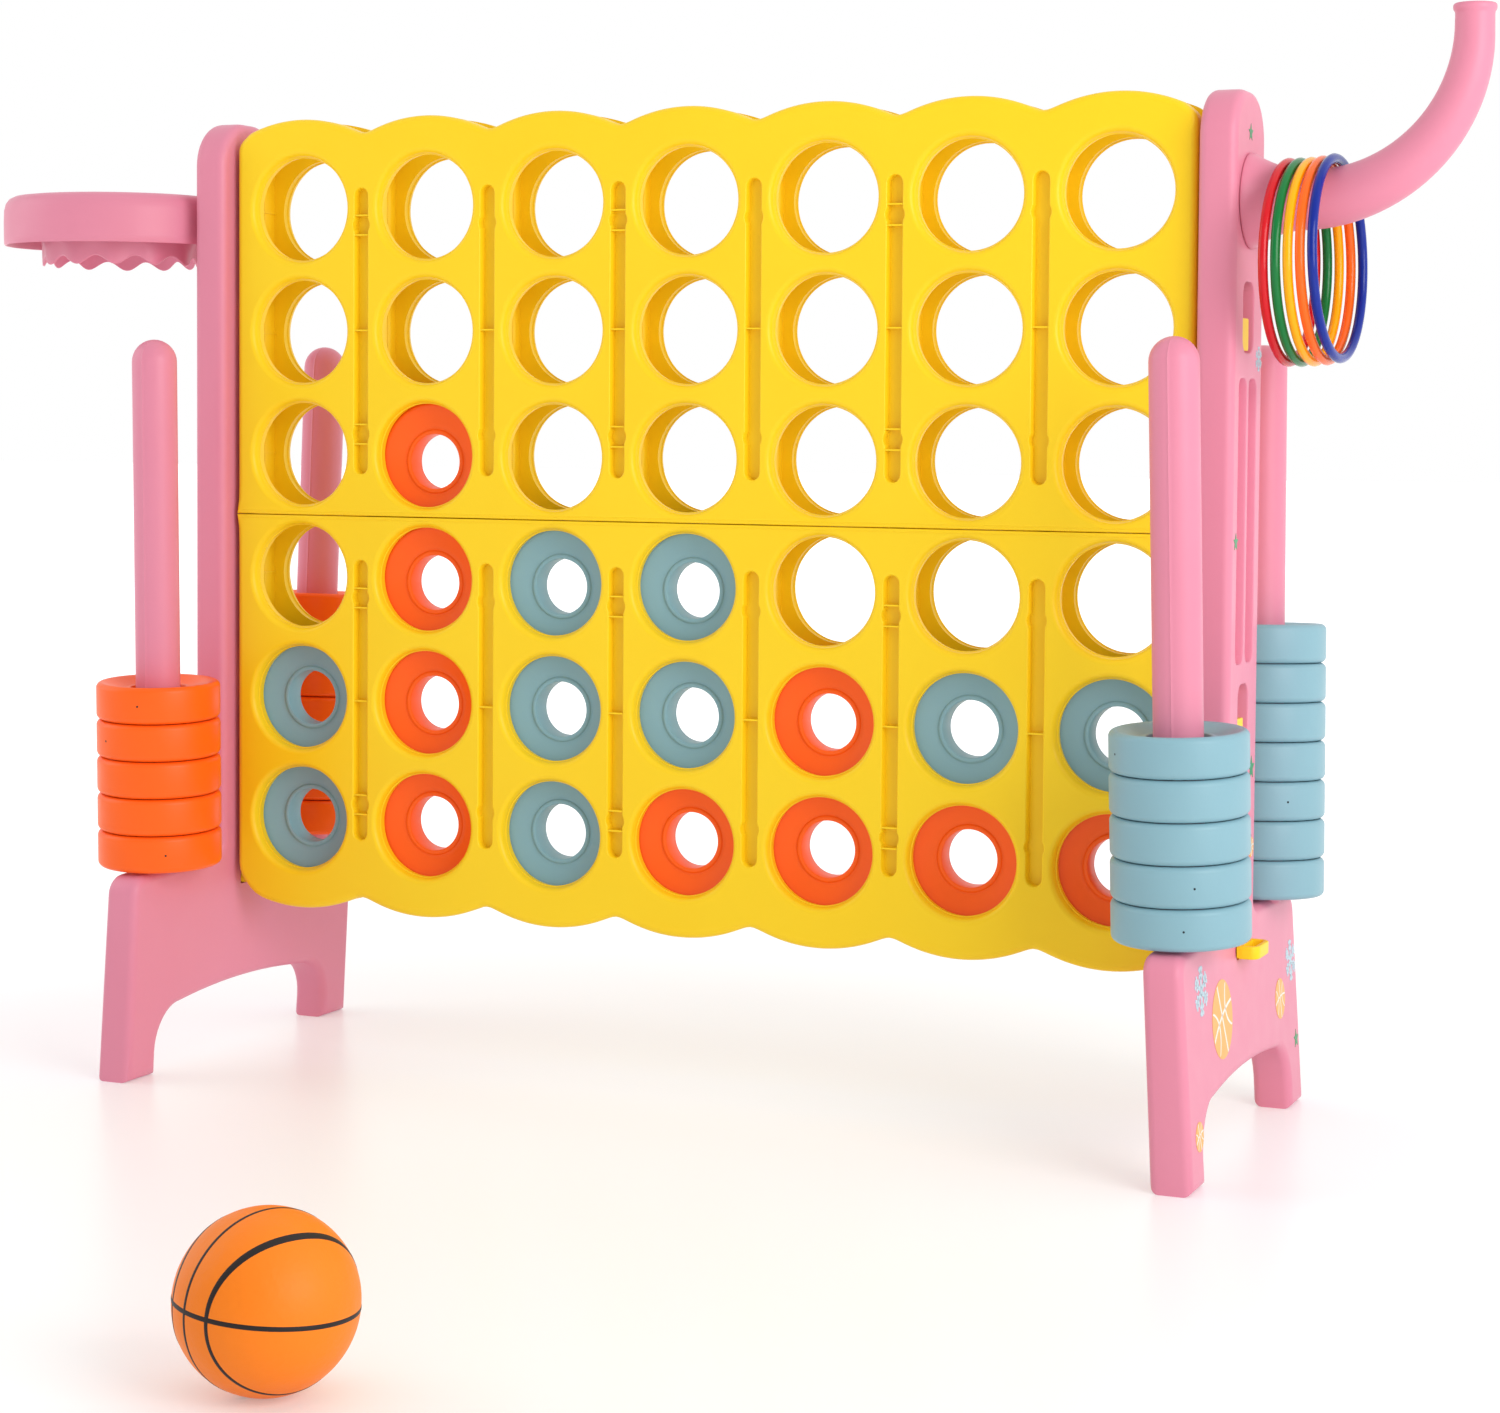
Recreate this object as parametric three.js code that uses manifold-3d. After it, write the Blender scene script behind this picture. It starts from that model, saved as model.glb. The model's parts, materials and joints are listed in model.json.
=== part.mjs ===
// A giant four-in-a-row lawn game with a ball hoop at one end and a ring-toss horn at the other.
// Millimetres. +X runs along the board towards the horn, -Y is the front, +Z is up, and the floor is z = 0.
import * as THREE from "three";
import { mergeVertices } from "three/addons/utils/BufferGeometryUtils.js";
import Module from "manifold-3d";

const wasm = await Module();
wasm.setup();

// ---- Driving dimensions ----
const COLUMNS = 7;
const COLUMN_PITCH = 138;
const ROW_PITCH = 120;
const LOWEST_ROW_Z = 240;
const HOLE_RADIUS = 51;
const CLEARANCE = 0.3; // left between pieces that touch
const OVERLAP = 2; // how far two shapes of one moulding reach into each other
const OVERCUT = 20; // how far a cutter sticks out of what it cuts

const DISC = { radius: 58.85, bore: 26.5, thickness: 35.5 };
const DISC_STEP = 118; // from one disc's centre to the next in a column
const JOINT_GROOVE = { halfWidth: 2, depth: 4 };

const BOARD = { halfWidth: 486, halfDepth: 36, channelHalfDepth: 19, seamZ: 540 };
const SCALLOP = { topPeakZ: 928, bottomPeakZ: 150, rise: 17 };
const DIVIDER = { width: 16, endWidth: 10, upperTopZ: 900, lowerBottomZ: 190 };
const GROOVE = { width: 11, depth: 30, upperZ: [581, 859], lowerZ: [222, 497] };
const LUG = { halfLength: 20, reach: 7, lowZ: 162, highZ: 168 }; // carries the slider's edge

const POST = { innerX: 490.5, outerX: 524.4, halfDepth: 53.4, footZ: 162, topZ: 927, cornerRadius: 45 };
const BASE = { innerX: 491.3, thickness: 37, splay: 0.05, halfSpan: 204.3, shoulderZ: 202 };
const SHOULDER = { cornerRadius: 18, fall: 0.04 };
const ARCH = { halfSpan: 156, sideZ: 62, crownZ: 72, cornerRadius: 30 };
const TONGUE = { lowY: 1, highY: 18, upperZ: [700, 729], lowerZ: [348, 379] };
const TONGUE_SLOT = { halfWidth: 20, height: 61, cornerRadius: 3, play: 1 };
const FACE_RECESS = { y: 16, halfWidth: 11, z: [425, 676], depth: 8, cornerRadius: 10 };
const ACCESSORY = { z: 831, pegRadius: 14, holeRadius: 15, pegLength: 24, holeLength: 25 };

const ROD = { x: 508, y: 138, radius: 21.5, length: 508 };
const SPIGOT = { radius: 13, length: 55, socketDepth: 58 };
const ROD_LEAN = { inward: 0.015, outward: 0.04 };

const SLIDER = { lowZ: 168.4, highZ: 180.7, halfWidth: 17.5, innerX: 0.4 };
const HANDLE = { innerX: 531.5, outerX: 547, halfWidth: 24, band: 5 };
const FINGER_HOLE = { innerX: 533.5, halfWidth: 16, cornerLength: 6 };

const HORN = { flangeRadius: 42, rootRadius: 26.5, tipRadius: 16.5, bendX: 575, bendRadius: 140 };
const HORN_NECK = { flangeLength: 4, waistAt: 17, waistRadius: 32, length: 32 };
const HORN_TIP = { topZ: 994, lipRadius: 18.5, lipLength: 7, lipEdge: 2, mouthRadius: 13, mouthDepth: 34 };
const TOSS_RING = { radius: 86, tube: 4.5, firstX: 560, step: 9.8, play: 0.8 };
const HOOP = { x: -646, radius: 117, topZ: 858, bandZ: 805, netRadius: 77, netZ: 784, wall: 3 };
const HOOP_EDGE = { outer: 14, inner: 8, taper: 3 };
const HOOP_BRACKET = { halfWidth: 24, lowZ: 807, highZ: 842, root: 6, pegRoot: 8 };
const BALL = { radius: 61.5, x: 116, y: -951 };

const ROUND_SIDES = 14;
const BALL_ROWS = 9;
const HORN_SIDES = 12;
const HOOP_SIDES = 24;
const TOSS_RING_SIDES = 20;
const TUBE_SIDES = 6;
const COLOUR = {
  pink: 0xf2a5bb,
  yellow: 0xfbd53a,
  orange: 0xff6a1c,
  blue: 0x9cc3d0,
  red: 0xd5202b,
  green: 0x1f8a4c,
  amber: 0xffb300,
  tangerine: 0xff7326,
  royal: 0x2343a8,
  ball: 0xe8701f,
};

// ---- Helpers ----
function plastic(colour, roughness = 0.42) {
  return new THREE.MeshStandardMaterial({ color: colour, roughness, metalness: 0 });
}

function piece(name, geometry, colour) {
  const mesh = new THREE.Mesh(geometry, plastic(colour));
  mesh.name = name;
  return mesh;
}

function bare(geometry) {
  const plain = new THREE.BufferGeometry();
  plain.setAttribute("position", geometry.getAttribute("position").clone());
  if (geometry.index) plain.setIndex(geometry.index.clone());
  return mergeVertices(plain, 1e-3);
}

function solid(geometry) {
  const merged = bare(geometry);
  return new wasm.Manifold(
    new wasm.Mesh({
      numProp: 3,
      vertProperties: merged.getAttribute("position").array,
      triVerts: new Uint32Array(merged.index.array),
    }),
  );
}

function geometryOf(manifold) {
  const mesh = manifold.getMesh();
  const geometry = new THREE.BufferGeometry();
  geometry.setAttribute("position", new THREE.BufferAttribute(mesh.vertProperties, 3));
  geometry.setIndex(new THREE.BufferAttribute(mesh.triVerts, 1));
  return geometry;
}

function box(x, y, z) {
  const geometry = new THREE.BoxGeometry(x[1] - x[0], y[1] - y[0], z[1] - z[0]);
  return geometry.translate((x[0] + x[1]) / 2, (y[0] + y[1]) / 2, (z[0] + z[1]) / 2);
}

// A shape drawn in X and Z, made solid from y = front back to y = front + depth.
function plateXZ(shape, front, depth, curveSegments = 6) {
  const geometry = new THREE.ExtrudeGeometry(shape, { depth, bevelEnabled: false, curveSegments });
  return geometry.rotateX(Math.PI / 2).translate(0, front + depth, 0);
}

// A shape drawn in Y and Z, made solid from x0 to x1.
function plateYZ(shape, x0, x1, curveSegments = 6) {
  const options = { depth: x1 - x0, bevelEnabled: false, curveSegments };
  const geometry = new THREE.ExtrudeGeometry(shape, options);
  const turn = new THREE.Matrix4().makeBasis(
    new THREE.Vector3(0, 1, 0),
    new THREE.Vector3(0, 0, 1),
    new THREE.Vector3(1, 0, 0),
  );
  return geometry.applyMatrix4(turn).translate(x0, 0, 0);
}

// A profile of [radius, height] turned about +Z.
function turned(profile, sides = ROUND_SIDES) {
  const points = profile.map(([r, z]) => new THREE.Vector2(r, z));
  return new THREE.LatheGeometry(points, sides).rotateX(Math.PI / 2);
}

function roundedRectangle(y, z, halfWidth, halfHeight, radius) {
  const shape = new THREE.Shape();
  const [a, b] = [halfWidth - radius, halfHeight - radius];
  shape.absarc(y + a, z + b, radius, 0, Math.PI / 2);
  shape.absarc(y - a, z + b, radius, Math.PI / 2, Math.PI);
  shape.absarc(y - a, z - b, radius, Math.PI, 1.5 * Math.PI);
  shape.absarc(y + a, z - b, radius, 1.5 * Math.PI, 2 * Math.PI);
  return shape;
}

function columnX(column) {
  return (column - (COLUMNS + 1) / 2) * COLUMN_PITCH;
}

// ---- Board ----
// One lobe of the scalloped edge for each column, from right to left along the top.
function scallopPoints(peakZ) {
  const half = COLUMN_PITCH / 2;
  const radius = (half * half + SCALLOP.rise * SCALLOP.rise) / (2 * SCALLOP.rise);
  const steps = 6;
  const points = [];
  for (let column = COLUMNS; column >= 1; column--) {
    for (let i = 0; i < steps + (column === 1 ? 1 : 0); i++) {
      const dx = half - (i / steps) * COLUMN_PITCH;
      const drop = radius - Math.sqrt(radius * radius - dx * dx);
      points.push(new THREE.Vector2(columnX(column) + dx, peakZ - drop));
    }
  }
  return points;
}

function panelShape(upper) {
  const w = BOARD.halfWidth;
  const peak = upper ? SCALLOP.topPeakZ : -SCALLOP.bottomPeakZ;
  const seam = upper ? BOARD.seamZ + CLEARANCE : -BOARD.seamZ + CLEARANCE;
  const edge = [
    new THREE.Vector2(-w, seam),
    new THREE.Vector2(w, seam),
    new THREE.Vector2(w, peak - SCALLOP.rise),
    ...scallopPoints(peak),
    new THREE.Vector2(-w, peak - SCALLOP.rise),
  ];
  // The lower half is the same outline turned upside down.
  const outline = upper ? edge : edge.map((p) => new THREE.Vector2(p.x, -p.y)).reverse();
  const shape = new THREE.Shape(outline);
  for (let column = 1; column <= COLUMNS; column++) {
    for (let row = 0; row < 3; row++) {
      const z = LOWEST_ROW_Z + (upper ? row + 3 : row) * ROW_PITCH;
      const hole = new THREE.Path();
      hole.absarc(columnX(column), z, HOLE_RADIUS, 0, 2 * Math.PI);
      shape.holes.push(hole);
    }
  }
  return shape;
}

// The front panel of one half. Its dividers and end walls reach the middle of the board, where the
// back panel's meet them; the back panel is the same piece turned half a turn.
function panelGeometry(upper) {
  const front = -BOARD.halfDepth;
  const inner = -BOARD.channelHalfDepth;
  let body = solid(plateXZ(panelShape(upper), front, inner - front, ROUND_SIDES / 2));
  const reach = [inner - OVERLAP, -CLEARANCE / 2];
  const z = upper
    ? [BOARD.seamZ + CLEARANCE, DIVIDER.upperTopZ]
    : [DIVIDER.lowerBottomZ, BOARD.seamZ - CLEARANCE];
  const end = BOARD.halfWidth;
  for (const x of [[-end, DIVIDER.endWidth - end], [end - DIVIDER.endWidth, end]]) {
    body = body.add(solid(box(x, reach, z)));
  }
  const grooveZ = upper ? GROOVE.upperZ : GROOVE.lowerZ;
  for (let column = 1; column < COLUMNS; column++) {
    const x = columnX(column) + COLUMN_PITCH / 2;
    const [rib, slot] = [DIVIDER.width / 2, GROOVE.width / 2];
    body = body.add(solid(box([x - rib, x + rib], reach, z)));
    const cut = box([x - slot, x + slot], [front - OVERCUT, front + GROOVE.depth], grooveZ);
    body = body.subtract(solid(cut));
  }
  if (!upper) {
    for (let column = 1; column <= COLUMNS; column++) {
      const x = [columnX(column) - LUG.halfLength, columnX(column) + LUG.halfLength];
      body = body.add(solid(box(x, [inner - OVERLAP, inner + LUG.reach], [LUG.lowZ, LUG.highZ])));
    }
  }
  const tongueX = [end - OVERLAP, POST.outerX - 1];
  const tongueY = [-TONGUE.highY, -TONGUE.lowY];
  body = body.add(solid(box(tongueX, tongueY, upper ? TONGUE.upperZ : TONGUE.lowerZ)));
  return geometryOf(body);
}

function board() {
  const group = new THREE.Group();
  for (const [half, upper] of [["upper", true], ["lower", false]]) {
    const geometry = panelGeometry(upper);
    const back = piece(half + "_back_panel", geometry, COLOUR.yellow);
    back.rotation.z = Math.PI;
    group.add(piece(half + "_front_panel", geometry, COLOUR.yellow), back);
  }
  return group;
}

// ---- End frames ----
function postShape() {
  const { halfDepth: d, cornerRadius: r, footZ, topZ } = POST;
  const shape = new THREE.Shape();
  shape.moveTo(-d, footZ);
  shape.lineTo(d, footZ);
  shape.absarc(d - r, topZ - r, r, 0, Math.PI / 2);
  shape.absarc(r - d, topZ - r, r, Math.PI / 2, Math.PI);
  return shape;
}

function baseShape() {
  const { halfSpan: s, shoulderZ } = BASE;
  const r = SHOULDER.cornerRadius;
  const neck = POST.halfDepth - OVERLAP;
  const fall = SHOULDER.fall * (s - ROD.y);
  const rise = SHOULDER.fall * (ROD.y - neck);
  const a = ARCH.halfSpan;
  const c = ARCH.cornerRadius;
  const shape = new THREE.Shape();
  shape.moveTo(-s, 0);
  shape.lineTo(-a, 0);
  shape.lineTo(-a, ARCH.sideZ - c);
  shape.absarc(c - a, ARCH.sideZ - c, c, Math.PI, Math.PI / 2, true);
  shape.quadraticCurveTo(0, 2 * ARCH.crownZ - ARCH.sideZ, a - c, ARCH.sideZ);
  shape.absarc(a - c, ARCH.sideZ - c, c, Math.PI / 2, 0, true);
  shape.lineTo(a, 0);
  shape.lineTo(s, 0);
  shape.absarc(s - r, shoulderZ - fall - r, r, 0, Math.PI / 2);
  shape.lineTo(neck, shoulderZ + rise);
  shape.lineTo(-neck, shoulderZ + rise);
  shape.absarc(r - s, shoulderZ - fall - r, r, Math.PI / 2, Math.PI);
  return shape;
}

// The base leans outwards on its way down.
function splayed(geometry) {
  const position = geometry.getAttribute("position");
  for (let i = 0; i < position.count; i++) {
    const shift = (BASE.shoulderZ - position.getZ(i)) * BASE.splay;
    position.setX(i, position.getX(i) + shift);
  }
  return geometry;
}

function rodAxis(side, face) {
  const direction = new THREE.Vector3(-side * ROD_LEAN.inward, face * ROD_LEAN.outward, 1);
  return direction.normalize();
}

// Places an object whose own +Z is the rod's axis and whose origin is on the shoulder.
function standOnShoulder(object, side, face) {
  object.position.set(side * ROD.x, face * ROD.y, BASE.shoulderZ);
  object.quaternion.setFromUnitVectors(new THREE.Vector3(0, 0, 1), rodAxis(side, face));
  object.updateMatrix();
  return object;
}

function rodSocket(face) {
  const depth = SPIGOT.socketDepth;
  const radius = SPIGOT.radius + CLEARANCE;
  const cutter = turned([[0, -depth], [radius, -depth], [radius, OVERCUT], [0, OVERCUT]]);
  const holder = standOnShoulder(new THREE.Object3D(), 1, face);
  return solid(cutter.applyMatrix4(holder.matrix));
}

function slotCutter(y, z, halfWidth, halfHeight, radius, x) {
  const shape = roundedRectangle(y, z, halfWidth, halfHeight, radius);
  return solid(plateYZ(shape, x[0], x[1], 3));
}

// The right-hand end frame: a round-topped post on a wide base with two feet.
function frameGeometry() {
  const through = [POST.innerX - OVERCUT, BASE.innerX + BASE.thickness + OVERCUT];
  const base = plateYZ(baseShape(), BASE.innerX, BASE.innerX + BASE.thickness, 4);
  let body = solid(splayed(base)).add(solid(plateYZ(postShape(), POST.innerX, POST.outerX, 5)));
  for (const [low] of [TONGUE.upperZ, TONGUE.lowerZ]) {
    const half = TONGUE_SLOT.height / 2;
    const { halfWidth, cornerRadius, play } = TONGUE_SLOT;
    const z = low - play + half;
    body = body.subtract(slotCutter(0, z, halfWidth, half, cornerRadius, through));
  }
  const [z0, z1] = FACE_RECESS.z;
  for (const y of [-FACE_RECESS.y, FACE_RECESS.y]) {
    const { halfWidth, cornerRadius, depth } = FACE_RECESS;
    const x = [POST.outerX - depth, POST.outerX + OVERCUT];
    const cut = slotCutter(y, (z0 + z1) / 2, halfWidth, (z1 - z0) / 2, cornerRadius, x);
    body = body.subtract(cut);
  }
  const gap = 2 * CLEARANCE;
  const sliderY = [-SLIDER.halfWidth - gap, SLIDER.halfWidth + gap];
  const sliderZ = [SLIDER.lowZ - gap, SLIDER.highZ + gap];
  body = body.subtract(solid(box(through, sliderY, sliderZ)));
  const pegHole = turned([
    [0, -ACCESSORY.holeLength],
    [ACCESSORY.holeRadius, -ACCESSORY.holeLength],
    [ACCESSORY.holeRadius, OVERCUT],
    [0, OVERCUT],
  ]);
  pegHole.rotateY(Math.PI / 2).translate(POST.outerX, 0, ACCESSORY.z);
  body = body.subtract(solid(pegHole));
  for (const face of [-1, 1]) {
    body = body.subtract(rodSocket(face));
  }
  return geometryOf(body);
}

function rodGeometry() {
  const { radius: r, length } = ROD;
  const profile = [
    [0, -SPIGOT.length],
    [SPIGOT.radius, -SPIGOT.length],
    [SPIGOT.radius, CLEARANCE],
    [r, CLEARANCE],
    [r, length - r],
  ];
  for (const degrees of [30, 60]) {
    const angle = THREE.MathUtils.degToRad(degrees);
    profile.push([r * Math.cos(angle), length - r + r * Math.sin(angle)]);
  }
  profile.push([0, length]);
  return turned(profile);
}

// A flat bar that closes the foot of half the columns, with a pull loop outside the end frame.
function sliderGeometry() {
  const { innerX, halfWidth: w, lowZ, highZ } = SLIDER;
  const h = HANDLE;
  const shape = new THREE.Shape();
  shape.moveTo(innerX, -w);
  shape.lineTo(h.innerX, -w);
  shape.lineTo(h.innerX, -h.halfWidth);
  shape.quadraticCurveTo(h.outerX, -h.halfWidth, h.outerX, -h.halfWidth / 2);
  shape.lineTo(h.outerX, h.halfWidth / 2);
  shape.quadraticCurveTo(h.outerX, h.halfWidth, h.innerX, h.halfWidth);
  shape.lineTo(h.innerX, w);
  shape.lineTo(innerX, w);
  const finger = new THREE.Path();
  const { innerX: x0, halfWidth: y, cornerLength } = FINGER_HOLE;
  const x1 = h.outerX - h.band;
  finger.moveTo(x0, -y);
  finger.lineTo(x0, y);
  finger.quadraticCurveTo(x1, y, x1, y - cornerLength);
  finger.lineTo(x1, cornerLength - y);
  finger.quadraticCurveTo(x1, -y, x0, -y);
  shape.holes.push(finger);
  const options = { depth: highZ - lowZ, bevelEnabled: false, curveSegments: 4 };
  return new THREE.ExtrudeGeometry(shape, options).translate(0, 0, lowZ);
}

function endFrames() {
  const group = new THREE.Group();
  const frame = frameGeometry();
  const slider = sliderGeometry();
  const rod = rodGeometry();
  for (const [name, side] of [["left", -1], ["right", 1]]) {
    const turn = side < 0 ? Math.PI : 0;
    for (const [label, geometry, colour] of [
      ["_end_frame", frame, COLOUR.pink],
      ["_slider", slider, COLOUR.yellow],
    ]) {
      const mesh = piece(name + label, geometry, colour);
      mesh.rotation.z = turn;
      group.add(mesh);
    }
    for (const [end, face] of [["front_", -1], ["rear_", 1]]) {
      const mesh = piece(end + name + "_rod", rod, COLOUR.pink);
      group.add(standOnShoulder(mesh, side, face));
    }
  }
  return group;
}

// ---- Horn and hoop ----
// Joins round sections that stand square to a path in the X-Z plane; ends are closed with fans.
function lofted(sections, sides) {
  const vertices = [];
  const triangles = [];
  for (const { x, z, angle, radius } of sections) {
    for (let i = 0; i < sides; i++) {
      const turn = (2 * Math.PI * i) / sides;
      const rise = radius * Math.sin(turn);
      const y = radius * Math.cos(turn);
      vertices.push(x - rise * Math.sin(angle), y, z + rise * Math.cos(angle));
    }
  }
  const [first, last] = [sections[0], sections[sections.length - 1]];
  const hub = vertices.length / 3;
  vertices.push(first.x, 0, first.z, last.x, 0, last.z);
  for (let i = 0; i < sides; i++) {
    const j = (i + 1) % sides;
    for (let s = 0; s + 1 < sections.length; s++) {
      const [a, b] = [s * sides, (s + 1) * sides];
      triangles.push(a + i, a + j, b + i, a + j, b + j, b + i);
    }
    const end = (sections.length - 1) * sides;
    triangles.push(hub, j, i, hub + 1, end + i, end + j);
  }
  const geometry = new THREE.BufferGeometry();
  geometry.setAttribute("position", new THREE.Float32BufferAttribute(vertices, 3));
  geometry.setIndex(triangles);
  return geometry;
}

// The horn plugs into the post, narrows from its flange, then sweeps up in a quarter turn.
function hornGeometry() {
  const z = ACCESSORY.z;
  const face = POST.outerX + CLEARANCE;
  const straight = (x, radius) => ({ x, z, angle: 0, radius });
  const upright = (height, radius) => ({
    x: HORN.bendX + HORN.bendRadius,
    z: height,
    angle: Math.PI / 2,
    radius,
  });
  const sections = [
    straight(face - ACCESSORY.pegLength, ACCESSORY.pegRadius),
    straight(face, ACCESSORY.pegRadius),
    straight(face, HORN.flangeRadius),
    straight(face + HORN_NECK.flangeLength, HORN.flangeRadius),
    straight(face + HORN_NECK.waistAt, HORN_NECK.waistRadius),
    straight(face + HORN_NECK.length, HORN.rootRadius),
  ];
  const steps = 7;
  for (let i = 0; i <= steps; i++) {
    const angle = (i / steps) * (Math.PI / 2);
    sections.push({
      x: HORN.bendX + HORN.bendRadius * Math.sin(angle),
      z: z + HORN.bendRadius * (1 - Math.cos(angle)),
      angle,
      radius: THREE.MathUtils.lerp(HORN.rootRadius, HORN.tipRadius, i / steps),
    });
  }
  const { topZ, lipRadius, lipLength, lipEdge, mouthRadius, mouthDepth } = HORN_TIP;
  sections.push(
    upright(topZ - lipLength, HORN.tipRadius),
    upright(topZ - lipEdge, lipRadius),
    upright(topZ, lipRadius - lipEdge / 2),
    upright(topZ, mouthRadius),
    upright(topZ - mouthDepth, mouthRadius - lipEdge),
  );
  return lofted(sections, HORN_SIDES);
}

function tossRings() {
  const group = new THREE.Group();
  const colours = ["red", "green", "amber", "tangerine", "royal"];
  const names = ["red", "green", "yellow", "orange", "blue"];
  names.forEach((name, i) => {
    const { radius, tube } = TOSS_RING;
    const geometry = new THREE.TorusGeometry(radius, tube, TUBE_SIDES, TOSS_RING_SIDES);
    const mesh = piece(name + "_toss_ring", geometry, COLOUR[colours[i]]);
    const x = TOSS_RING.firstX + i * TOSS_RING.step;
    const along = Math.max(0, x + tube - HORN.bendX);
    const bend = HORN.bendRadius;
    const lift = bend - Math.sqrt(bend * bend - along * along);
    const hang = radius - tube - HORN.rootRadius - TOSS_RING.play;
    mesh.rotation.y = Math.PI / 2;
    mesh.position.set(x, 0, ACCESSORY.z + lift - hang);
    group.add(mesh);
  });
  return group;
}

// A deep rim, rounded on top and open below, whose inner wall runs on down as a short net.
function hoopGeometry() {
  const { radius: r, netRadius: n, topZ, bandZ, netZ, wall, x } = HOOP;
  const { outer, inner, taper } = HOOP_EDGE;
  const rim = turned(
    [
      [r - 1, bandZ],
      [r, topZ - outer],
      [r - outer / 4, topZ - outer / 4],
      [r - outer, topZ],
      [n + inner, topZ],
      [n, topZ - inner],
      [n - taper, netZ],
      [n - taper + wall, netZ],
      [n + wall, topZ - wall - inner],
      [n + wall + inner, topZ - wall],
      [r - wall - outer, topZ - wall],
      [r - wall - outer / 4, topZ - wall - outer / 4],
      [r - wall, topZ - wall - outer],
      [r - wall - 1, bandZ],
      [r - 1, bandZ],
    ],
    HOOP_SIDES,
  ).translate(x, 0, 0);
  const face = -POST.outerX - CLEARANCE;
  const { halfWidth, lowZ, highZ, root, pegRoot } = HOOP_BRACKET;
  const bracket = box([x + r - root, face], [-halfWidth, halfWidth], [lowZ, highZ]);
  const peg = turned([
    [0, -pegRoot],
    [ACCESSORY.pegRadius, -pegRoot],
    [ACCESSORY.pegRadius, ACCESSORY.pegLength],
    [0, ACCESSORY.pegLength],
  ]);
  peg.rotateY(Math.PI / 2).translate(face, 0, ACCESSORY.z);
  return geometryOf(solid(rim).add(solid(bracket)).add(solid(peg)));
}

// ---- Playing discs ----
const DISC_PROFILE = [
  [DISC.bore, -DISC.thickness / 2],
  [DISC.radius, -DISC.thickness / 2],
  [DISC.radius, DISC.thickness / 2],
  [DISC.bore, DISC.thickness / 2],
  [DISC.bore, -DISC.thickness / 2],
];

// Discs lying in the board, lowest first: o is orange and b is blue.
const PLAYED = ["bb", "oooo", "bbb", "obb", "oo", "ob", "ob"];

function playedDiscs() {
  const group = new THREE.Group();
  const flat = turned(DISC_PROFILE);
  PLAYED.forEach((colours, i) => {
    [...colours].forEach((letter, level) => {
      const colour = letter === "o" ? COLOUR.orange : COLOUR.blue;
      const disc = piece(`column${i + 1}_disc${level + 1}`, flat, colour);
      disc.rotation.x = Math.PI / 2;
      disc.position.set(columnX(i + 1), 0, LOWEST_ROW_Z + level * DISC_STEP);
      group.add(disc);
    });
  });
  return group;
}

// Several discs of one stack as a single body, with a groove at each joint between discs.
function discPile(count) {
  const step = DISC.thickness + CLEARANCE;
  const profile = [[DISC.bore, 0], [DISC.radius, 0]];
  const { halfWidth, depth } = JOINT_GROOVE;
  for (let i = 1; i < count; i++) {
    const z = i * step;
    profile.push([DISC.radius, z - halfWidth], [DISC.radius - depth, z], [DISC.radius, z + halfWidth]);
  }
  const top = count * step - CLEARANCE;
  profile.push([DISC.radius, top], [DISC.bore, top], [DISC.bore, 0]);
  return turned(profile);
}

// A stack of spare discs on one rod. The lowest ones may be joined into one pile.
function stack(end, side, face, count, joined, colour) {
  const group = standOnShoulder(new THREE.Group(), side, face);
  const step = DISC.thickness + CLEARANCE;
  const seat = 2 * CLEARANCE;
  if (joined) {
    const pile = piece(end + "_lower_discs", discPile(joined), colour);
    pile.position.z = seat;
    group.add(pile);
  }
  const flat = turned(DISC_PROFILE);
  for (let i = joined; i < count; i++) {
    const disc = piece(`${end}_disc${i + 1}`, flat, colour);
    disc.position.z = seat + i * step + DISC.thickness / 2;
    group.add(disc);
  }
  return group;
}

function ball() {
  const geometry = new THREE.SphereGeometry(BALL.radius, ROUND_SIDES, BALL_ROWS).rotateX(Math.PI / 2);
  const mesh = piece("ball", geometry, COLOUR.ball);
  mesh.position.set(BALL.x, BALL.y, BALL.radius);
  return mesh;
}

// ---- The whole set ----
const game = new THREE.Group();
game.add(board(), endFrames(), tossRings(), playedDiscs(), ball());
game.add(piece("horn", hornGeometry(), COLOUR.pink));
game.add(piece("hoop", hoopGeometry(), COLOUR.pink));
game.add(stack("front_left", -1, -1, 5, 0, COLOUR.orange));
game.add(stack("rear_left", -1, 1, 7, 3, COLOUR.orange));
game.add(stack("front_right", 1, -1, 5, 0, COLOUR.blue));
game.add(stack("rear_right", 1, 1, 7, 0, COLOUR.blue));

// The origin is on the floor under the middle of the whole set, ball included.
const middle = new THREE.Box3().setFromObject(game, true).getCenter(new THREE.Vector3());
game.position.set(-middle.x, -middle.y, 0);

const set = new THREE.Group();
set.add(game);

export default set;
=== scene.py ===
"""A giant four-in-a-row lawn game with a ball hoop, a ring-toss horn and a ball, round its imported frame.

Shapes are drawn in millimetres from the middle of the board: x runs along the board, y points out of its back
and z is up from the floor. Each finished piece is then put into the frame in metres.
"""

import json
import math
import random

import bmesh
import bpy
from mathutils import Matrix, Quaternion, Vector
from mathutils.geometry import tessellate_polygon


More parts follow.
